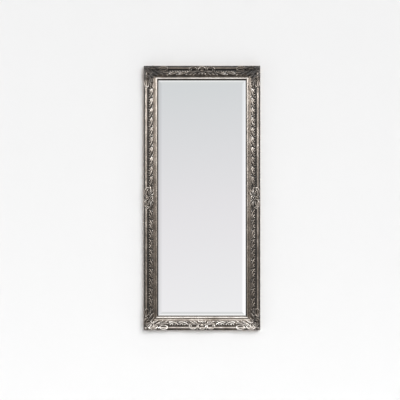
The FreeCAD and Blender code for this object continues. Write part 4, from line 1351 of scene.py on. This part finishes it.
@dataclass
class StrapHanger:
    """A strap hanger on the back of a stile: a plate curled round the bar of its D-ring.

    Its own frame has the hinge at z = 0 and the back of the wood at y = 0, with y towards the wall.

    Attributes:
        side_name: Side of the mirror, as in its nodes.
        hinge: X and Z of the hinge.
        finish: Its material.
        length: From the hinge to the foot of the plate.
        width: Width of the plate.
        thickness: Thickness of the steel.
        axis: Height of the hinge axis over the wood.
        barrel: Length of the curled barrel.
        joggle: Length over which the plate rises and narrows to the barrel.
        curl: Degrees that the barrel is rolled.
        curl_steps: Facets of the barrel.
        facets: Facets of the full circle that its foot is cut from.
        edge: Rounding of the plate's edges.
        wire: Radius of the ring's wire.
        play: Clearance between wire and barrel.
        inner_width: Inner width of the ring.
        corner: Radius of the ring's corners.
        leg: Length of the ring's straight legs.
    """

    side_name: str
    hinge: Plan
    finish: Material
    length: float = 36 * MM
    width: float = 16 * MM
    thickness: float = 1.4 * MM
    axis: float = 3.6 * MM
    barrel: float = 15 * MM
    joggle: float = 2.6 * MM
    curl: float = 285
    curl_steps: int = 26
    facets: int = 48
    edge: float = 0.3 * MM
    wire: float = 1.8 * MM
    play: float = 0.08 * MM
    inner_width: float = 18 * MM
    corner: float = 3.2 * MM
    leg: float = 3 * MM

    def build(self) -> None:
        """Builds the strap and its ring."""
        strap, ring = f"strap_{self.side_name}", f"ring_{self.side_name}"
        for piece, node, body in ((self.strap(), strap, "frame"), (self.ring(), ring, ring)):
            place_mesh(piece, Matrix.Translation((self.hinge[0], -SIZES.gap, self.hinge[1])))
            hand_over(piece, node, self.finish, body)

    def strap(self) -> Object:
        """Cuts a half disc, draws it out into the plate and rolls its end into the barrel.

        Returns:
            The strap.
        """
        half = self.width / 2
        radius = self.wire + self.play + self.thickness / 2
        shoulder = half - self.length
        close = 0.01 * MM
        strap = added(bpy.ops.mesh.primitive_circle_add, vertices=self.facets, radius=half, fill_type="NGON")
        strap.data.transform(Matrix.Translation((0, self.thickness / 2, shoulder)) @ turn(90, "X"))
        with editing(strap, "EDGE"):
            bpy.ops.mesh.bisect(plane_co=(0, 0, shoulder), plane_no=(0, 0, 1), clear_outer=True)
        top = abs(places_of(strap)[:, 2] - shoulder) < close
        chosen = [all(top[index] for index in edge.vertices) for edge in strap.data.edges]
        with editing(strap, "EDGE", chosen):
            extrude(0, 0, -shoulder - self.joggle)
            extrude(0, self.axis - radius - self.thickness / 2, self.joggle)
            bpy.ops.transform.resize(value=(self.barrel / self.width, 1, 1))
            roll = {"steps": self.curl_steps, "angle": math.radians(self.curl)}
            bpy.ops.mesh.spin(center=(0, self.axis, 0), axis=(-1, 0, 0), **roll)
        with editing(strap):
            bpy.ops.mesh.remove_doubles(threshold=close)
            bpy.ops.mesh.normals_make_consistent(inside=False)
        apply_modifier(strap, "SOLIDIFY", thickness=self.thickness, offset=0)
        round_edges(strap, self.edge, 3, 50)
        smooth(strap, 35)
        return strap

    def ring(self) -> Object:
        """Bends the D-ring from round wire.

        Returns:
            The ring.
        """
        half = self.inner_width / 2 + self.wire
        straight = half - self.corner
        top = self.corner + self.leg
        # Handle of a quarter circle, in radii
        quarter = 0.5523
        bend, bow = self.corner * quarter, half * quarter
        # Place, direction and the reach of both handles
        stations = (
            (-straight, 0, (1, 0), bend, straight / 1.5), (straight, 0, (1, 0), straight / 1.5, bend),
            (half, self.corner, (0, 1), bend, self.leg / 3), (half, top, (0, 1), self.leg / 3, bow),
            (0, top + half, (-1, 0), bow, bow),
            (-half, top, (0, -1), bow, self.leg / 3), (-half, self.corner, (0, -1), self.leg / 3, bend),
        )
        ring = empty_curve("3D")
        ring.data.bevel_depth = self.wire
        ring.data.bevel_resolution = 6
        ring.data.resolution_u = 10
        spline = ring.data.splines.new("BEZIER")
        spline.bezier_points.add(len(stations) - 1)
        spline.use_cyclic_u = True
        for point, (x, z, way, before, after) in zip(spline.bezier_points, stations):
            point.handle_left_type = point.handle_right_type = "FREE"
            point.co = (x, self.axis, z)
            point.handle_left = (x - way[0] * before, self.axis, z - way[1] * before)
            point.handle_right = (x + way[0] * after, self.axis, z + way[1] * after)
        select_only(ring)
        bpy.ops.object.convert(target="MESH")
        smooth(ring, 60)
        return ring


@dataclass
class HangerScrews:
    """The cross-head wood screws of both strap hangers.

    Attributes:
        places: X and Z of every screw.
        finish: Their material.
        lathe: Radius and height of the turned outline in mm, from the point to the crown of the head.
        cross: Length, width and depth of the cross.
        crown: Height of the head's crown over the wood.
        turns: Degrees that the first screw is turned, and each next one further.
        facets: Facets round the screw.
    """

    places: list[Plan]
    finish: Material
    lathe: tuple[Plan, ...] = (
        (0.3, -14.6), (1.6, -11.6), (1.6, 1.4), (3.5, 1.4), (3.5, 1.75), (3.3, 2.35),
        (2.8, 2.95), (2.0, 3.38), (1.0, 3.58),
    )
    cross: Triple = (4.2 * MM, 0.8 * MM, 1.2 * MM)
    crown: float = 3.6 * MM
    turns: Plan = (25, 67)
    facets: int = 28

    def build(self) -> None:
        """Turns one screw, cuts its cross and copies it to every place."""
        point, depth = (size * MM for size in self.lathe[0])
        screw = added(bpy.ops.mesh.primitive_circle_add, vertices=self.facets, radius=point, fill_type="NGON")
        with editing(screw):
            for (before, low), (after, high) in zip(self.lathe, self.lathe[1:]):
                extrude(0, 0, (high - low) * MM)
                bpy.ops.transform.resize(value=(after / before, after / before, 1))
            bpy.ops.mesh.select_all(action="SELECT")
            bpy.ops.mesh.normals_make_consistent(inside=False)
        screw.data.transform(Matrix.Translation((0, 0, depth)))
        long, wide, deep = self.cross
        for size in ((wide, long), (long, wide)):
            slot = added(bpy.ops.mesh.primitive_cube_add, size=1)
            crown = Matrix.Translation((0, 0, self.crown))
            slot.data.transform(crown @ Matrix.Diagonal((*size, 2 * deep, 1)))
            apply_modifier(screw, "BOOLEAN", object=slot, operation="DIFFERENCE", solver="EXACT")
            bpy.data.objects.remove(slot)
        smooth(screw, 35)
        copies = []
        for index, (x, z) in enumerate(self.places):
            spin = turn(-90, "X") @ turn(self.turns[0] + self.turns[1] * index, "Z")
            copies.append(copy_of(screw, "screw", Matrix.Translation((x, -SIZES.gap, z)) @ spin))
        bpy.data.objects.remove(screw)
        hand_over(join(copies, "screws"), "hanger_screws", self.finish)


@dataclass
class WallBumper:
    """A square rubber bumper with rounded edges and a dished face.

    Attributes:
        node: The frame node it stands for.
        middle: X and Z of its middle.
        finish: Its material.
        foot: Width on the wood.
        face: Width at the wall.
        softness: Radius of its edges.
        rim: Width of the rim round the dish.
        dish: Depth of the dish.
        taper: Share of the dish's width at its floor.
    """

    node: str
    middle: Plan
    finish: Material
    foot: float = 20 * MM
    face: float = 15 * MM
    softness: float = 1.5 * MM
    rim: float = 3.4 * MM
    dish: float = 1.2 * MM
    taper: float = 0.8

    def build(self) -> None:
        """Tapers a block, dishes its face and rounds its edges."""
        bumper = added(bpy.ops.mesh.primitive_cube_add, size=1)
        lift = Matrix.Translation((0, 0, SIZES.gap / 2))
        bumper.data.transform(lift @ Matrix.Diagonal((self.foot, self.foot, SIZES.gap, 1)))
        share = self.face / self.foot
        with editing(bumper, "FACE", [polygon.normal.z > 0.9 for polygon in bumper.data.polygons]):
            bpy.ops.transform.resize(value=(share, share, 1))
            bpy.ops.mesh.inset(thickness=self.rim)
            extrude(0, 0, -self.dish)
            bpy.ops.transform.resize(value=(self.taper, self.taper, 1))
        round_edges(bumper, self.softness, 4, 40)
        smooth(bumper, 50)
        place_mesh(bumper, Matrix.Translation((self.middle[0], -SIZES.gap, self.middle[1])) @ turn(-90, "X"))
        hand_over(bumper, self.node, self.finish)


@dataclass
class Hardware:
    """What holds the mirror on its wall.

    Attributes:
        steel: Material of hangers, rings and screws.
        rubber: Material of the bumpers.
        hanger_inset: Distance of a hanger's middle from the outline.
        hanger_drop: Distance of a hinge from the top.
        screw_drops: Distance of each screw below the hinge.
        bumper_inset: Distance of a bumper's middle from the side.
        bumper_drop: Distance of a bumper's middle from the top or bottom.
    """

    steel: Material
    rubber: Material
    hanger_inset: float = 34 * MM
    hanger_drop: float = 330 * MM
    screw_drops: Plan = (11 * MM, 27 * MM)
    bumper_inset: float = 36 * MM
    bumper_drop: float = 90 * MM

    def build(self) -> None:
        """Builds hangers, screws and bumpers."""
        ways = (("left", -1), ("right", 1))
        x, z = SIZES.width / 2 - self.hanger_inset, SIZES.height / 2 - self.hanger_drop
        for name, way in ways:
            StrapHanger(name, (x * way, z), self.steel).build()
        places = [(x * way, z - drop) for _, way in ways for drop in self.screw_drops]
        HangerScrews(places, self.steel).build()
        x, z = SIZES.width / 2 - self.bumper_inset, SIZES.height / 2 - self.bumper_drop
        for up_name, up in (("top", 1), ("bottom", -1)):
            for name, way in ways:
                WallBumper(f"bumper_{up_name}_{name}", (x * way, z * up), self.rubber).build()


# Studio


@dataclass
class Studio:
    """The room: wall, floor, lights, surroundings and camera.

    Attributes:
        wall: Material of the wall.
        floor: Material of the floor.
        cover: How far the mirror reaches over the wall's window.
        reach: From the window to the end of the wall.
        wall_gap: From the bumpers to the wall.
        floor_level: Height of the floor.
        floor_size: Length of its sides.
        distance: Camera distance.
        focal: Focal length in mm.
        sensor: Width of the sensor in mm.
        farthest: Distance up to which the camera sees.
        shift: Shift of the lens that the photo's framing needs.
        key_strength: Strength of the key light.
        key_softness: Angle that it spans, in degrees.
        key_way: Where it shines.
        soft: Strength of the light from all around.
        panels: Light panels: name, place, two sides and power in watts.
        upward: Colour that a reflection finds, by its direction's height.
        sideways: The same by its direction to the right, laid over the other.
    """

    wall: Material
    floor: Material
    cover: float = 12 * MM
    reach: float = 3.4
    wall_gap: float = 1.5 * MM
    floor_level: float = -1.5
    floor_size: float = 14
    distance: float = 12.51
    focal: float = 180
    sensor: float = 36
    farthest: float = 60
    shift: float = -0.005
    key_strength: float = 2.15
    key_softness: float = 34
    key_way: Triple = (-0.38, 1.0, -0.44)
    soft: float = 0.33
    panels: tuple[tuple[str, Triple, Plan, float], ...] = (
        ("side_panel", (2.4, -1.6, 1.5), (1.2, 2.0), 140),
        ("left_panel", (-2.4, -1.6, 1.2), (1.2, 2.0), 170),
        ("high_panel", (0.8, -2.7, 2.7), (3.2, 1.6), 40),
        ("rear_panel", (0.5, 1.3, 0.5), (0.9, 1.7), 22),
    )
    # Low room, the bright low wall that the bottom bevel shows, the room's soft grey and a pale ceiling
    upward: Stops = (
        (-0.6, "#8c8a88"), (-0.34, "#c4c2c0"), (-0.250, "#ffffff"), (-0.230, "#e6e6e6"), (-0.205, "#d5d6d7"),
        (-0.175, "#e8e9e9"), (-0.13, "#f5f5f5"), (-0.07, "#f4f3f5"), (0.0, "#e8e6e9"), (0.07, "#d4d7d9"),
        (0.175, "#d7d9da"), (0.225, "#dcdedf"), (0.262, "#f4f4f4"), (0.42, "#f4f4f4"), (0.6, "#a6a6a6"),
        (1.0, "#6c6c6c"),
    )
    sideways: Stops = (
        (-0.92, "#343230"), (-0.80, "#b8b7b6"), (-0.36, "#cac9c8"), (-0.22, "#e8e8e8"), (-0.138, "#fbfbfb"),
        (0.138, "#ffffff"), (0.26, "#ffffff"), (0.40, "#c4c3c2"),
    )

    def build(self) -> None:
        """Builds all of it."""
        self.add_planes()
        self.add_lights()
        self.add_surroundings()
        self.add_camera()

    def add_planes(self) -> None:
        """Adds the wall, open where the mirror hides it so that light reaches the back, and the floor."""
        wall = added(bpy.ops.mesh.primitive_plane_add, size=1)
        wall.name = "wall"
        wide, tall = (size + 2 * (self.reach - self.cover) for size in (SIZES.width, SIZES.height))
        lay = Matrix.Translation((0, self.wall_gap, 0)) @ turn(90, "X")
        wall.data.transform(lay @ Matrix.Diagonal((wide, tall, 1, 1)))
        with editing(wall, "FACE"):
            bpy.ops.mesh.inset(thickness=self.reach)
            bpy.ops.mesh.delete(type="FACE")
        wall.data.materials.append(self.wall)
        floor = added(bpy.ops.mesh.primitive_plane_add, size=1)
        floor.name = "floor"
        size = Matrix.Diagonal((self.floor_size, self.floor_size, 1, 1))
        floor.data.transform(Matrix.Translation((0, 0, self.floor_level)) @ size)
        floor.data.materials.append(self.floor)
        # Reflections take the low part of the room from the world instead
        floor.visible_glossy = False

    def add_lights(self) -> None:
        """Adds a soft key light from above, panels in front that show only as sheen and one for the back."""
        key = added(bpy.ops.object.light_add, type="SUN")
        key.name = "key"
        key.data.energy = self.key_strength
        key.data.angle = math.radians(self.key_softness)
        key.rotation_euler = Vector(self.key_way).to_track_quat("-Z", "Y").to_euler()
        key.visible_glossy = False
        for name, place, size, power in self.panels:
            panel = added(bpy.ops.object.light_add, type="AREA", location=place)
            panel.name = name
            panel.data.shape = "RECTANGLE"
            panel.data.size, panel.data.size_y = size
            panel.data.energy = power
            behind = place[1] > 0
            panel.visible_diffuse = behind
            panel.visible_glossy = not behind
            panel.visible_camera = False
            panel.rotation_euler = (-Vector(place)).to_track_quat("-Z", "Y").to_euler()

    def add_surroundings(self) -> None:
        """Sets what the camera, the reflections and the diffuse light see around the mirror."""
        bench = NodeBench("studio", room=True)
        add = bench.add
        path = add("LightPath").node.outputs
        x, _, z = add("SeparateXYZ", {0: add("TexCoord", out="Generated")}).node.outputs
        colours = []
        for way, stops in ((z, self.upward), (x, self.sideways)):
            share = add("MapRange", {0: way, 1: -1, 2: 1, 3: 0, 4: 1})
            spots = [((spot + 1) / 2, code) for spot, code in stops]
            colours.append(add("ValToRGB", {0: share}, stops=spots))
        both = {0: 1.0, 6: colours[0], 7: colours[1]}
        colour = add("Mix", both, 2, data_type="RGBA", blend_type="MULTIPLY")
        # A long ceiling light over the camera, and a little more from both sides
        ceiling = add("MapRange", {0: z, 1: 0.265, 2: 0.40, 3: 0, 4: 6.2})
        aside = add("Math", {0: x}, operation="ABSOLUTE")
        narrow = add("MapRange", {0: aside, 1: 0.3, 2: 0.55, 3: 1, 4: 0.1})
        above = add("Math", {0: ceiling, 1: narrow, 2: 1}, operation="MULTIPLY_ADD")
        right = add("MapRange", {0: x, 1: 0.12, 2: 0.23, 3: 1, 4: 1.3})
        left = add("MapRange", {0: x, 1: -0.40, 2: -0.24, 3: 1.8, 4: 1})
        sides = add("Math", {0: right, 1: left}, operation="MULTIPLY")
        strength = add("Math", {0: above, 1: sides}, operation="MULTIPLY")
        reflected = add("Background", {"Color": colour, "Strength": strength})
        soft = add("Background", {"Color": srgb("#ffffff"), "Strength": self.soft})
        seen = add("Background", {"Color": srgb("#f6f6f6")})
        hidden = add("MixShader", {0: path["Is Glossy Ray"], 1: soft, 2: reflected})
        around = add("MixShader", {0: path["Is Camera Ray"], 1: hidden, 2: seen})
        bpy.context.scene.world = bench.finish(around)

    def add_camera(self) -> None:
        """Adds the long lens straight in front."""
        place = {"location": (0, -self.distance, 0), "rotation": (math.radians(90), 0, 0)}
        camera = added(bpy.ops.object.camera_add, **place)
        camera.name = "front_camera"
        camera.data.lens = self.focal
        camera.data.sensor_width = self.sensor
        camera.data.clip_end = self.farthest
        camera.data.shift_x = camera.data.shift_y = self.shift
        bpy.context.scene.camera = camera
        bpy.context.scene.view_settings.view_transform = "Standard"


def dress_nodes(frame: dict, finishes: dict[str, Material]) -> None:
    """Gives the carried-over nodes their finishes.

    Args:
        frame: The loaded frame.
        finishes: Materials by the start of a node's name.
    """
    for name, node in frame["nodes"].items():
        for start, finish in finishes.items():
            if name.startswith(start):
                node.data.materials.clear()
                node.data.materials.append(finish)
                LOG.info("%s keeps its shape", name)


def main() -> None:
    """Builds the mirror and the studio."""
    logging.basicConfig(level=logging.INFO, format="%(message)s")
    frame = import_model()
    leaf = SilverLeaf().build()
    bright = SilverLeaf("rubbed_silver_leaf", brightness=0.02, relief=0.8, mottling=0.3).build()
    carved = SilverLeaf("carved_silver_leaf", brightness=-0.02, relief=0.9, mottling=0.55).build()
    upright = BarePine().build()
    level = BarePine("planed_pine_level", (0.03, 1, 1)).build()
    for side in (Side.TOP, Side.BOTTOM, Side.LEFT, Side.RIGHT):
        name = side.name.lower()
        kind, timber = ("rail", level) if side.is_rail else ("stile", upright)
        # Rubbing scaled by side as painted light and shade
        WoodenLength(f"{name}_{kind}", MOULDING, side, FACE_PAINTED_LIGHT, leaf, timber).build()
        WoodenLength(f"{name}_slip", SLIP, side, SLIP_PAINTED_LIGHT, bright, timber).build()
    MirrorPlate(MirrorSilver().build()).build()
    CarvedWork(carved).build()
    steel = ZincSteel().build()
    rubber = BlackRubber().build()
    Hardware(steel, rubber).build()
    board = Fibreboard().build()
    carried = {"backing_board": board, "retaining_tabs": steel, "v_nails": steel, "setting_pads": rubber}
    dress_nodes(frame, carried)
    Studio(Plaster("wall_plaster", "#f2f2f2").build(), Plaster("floor_plaster", "#ededed").build()).build()


if __name__ == "__main__":
    main()
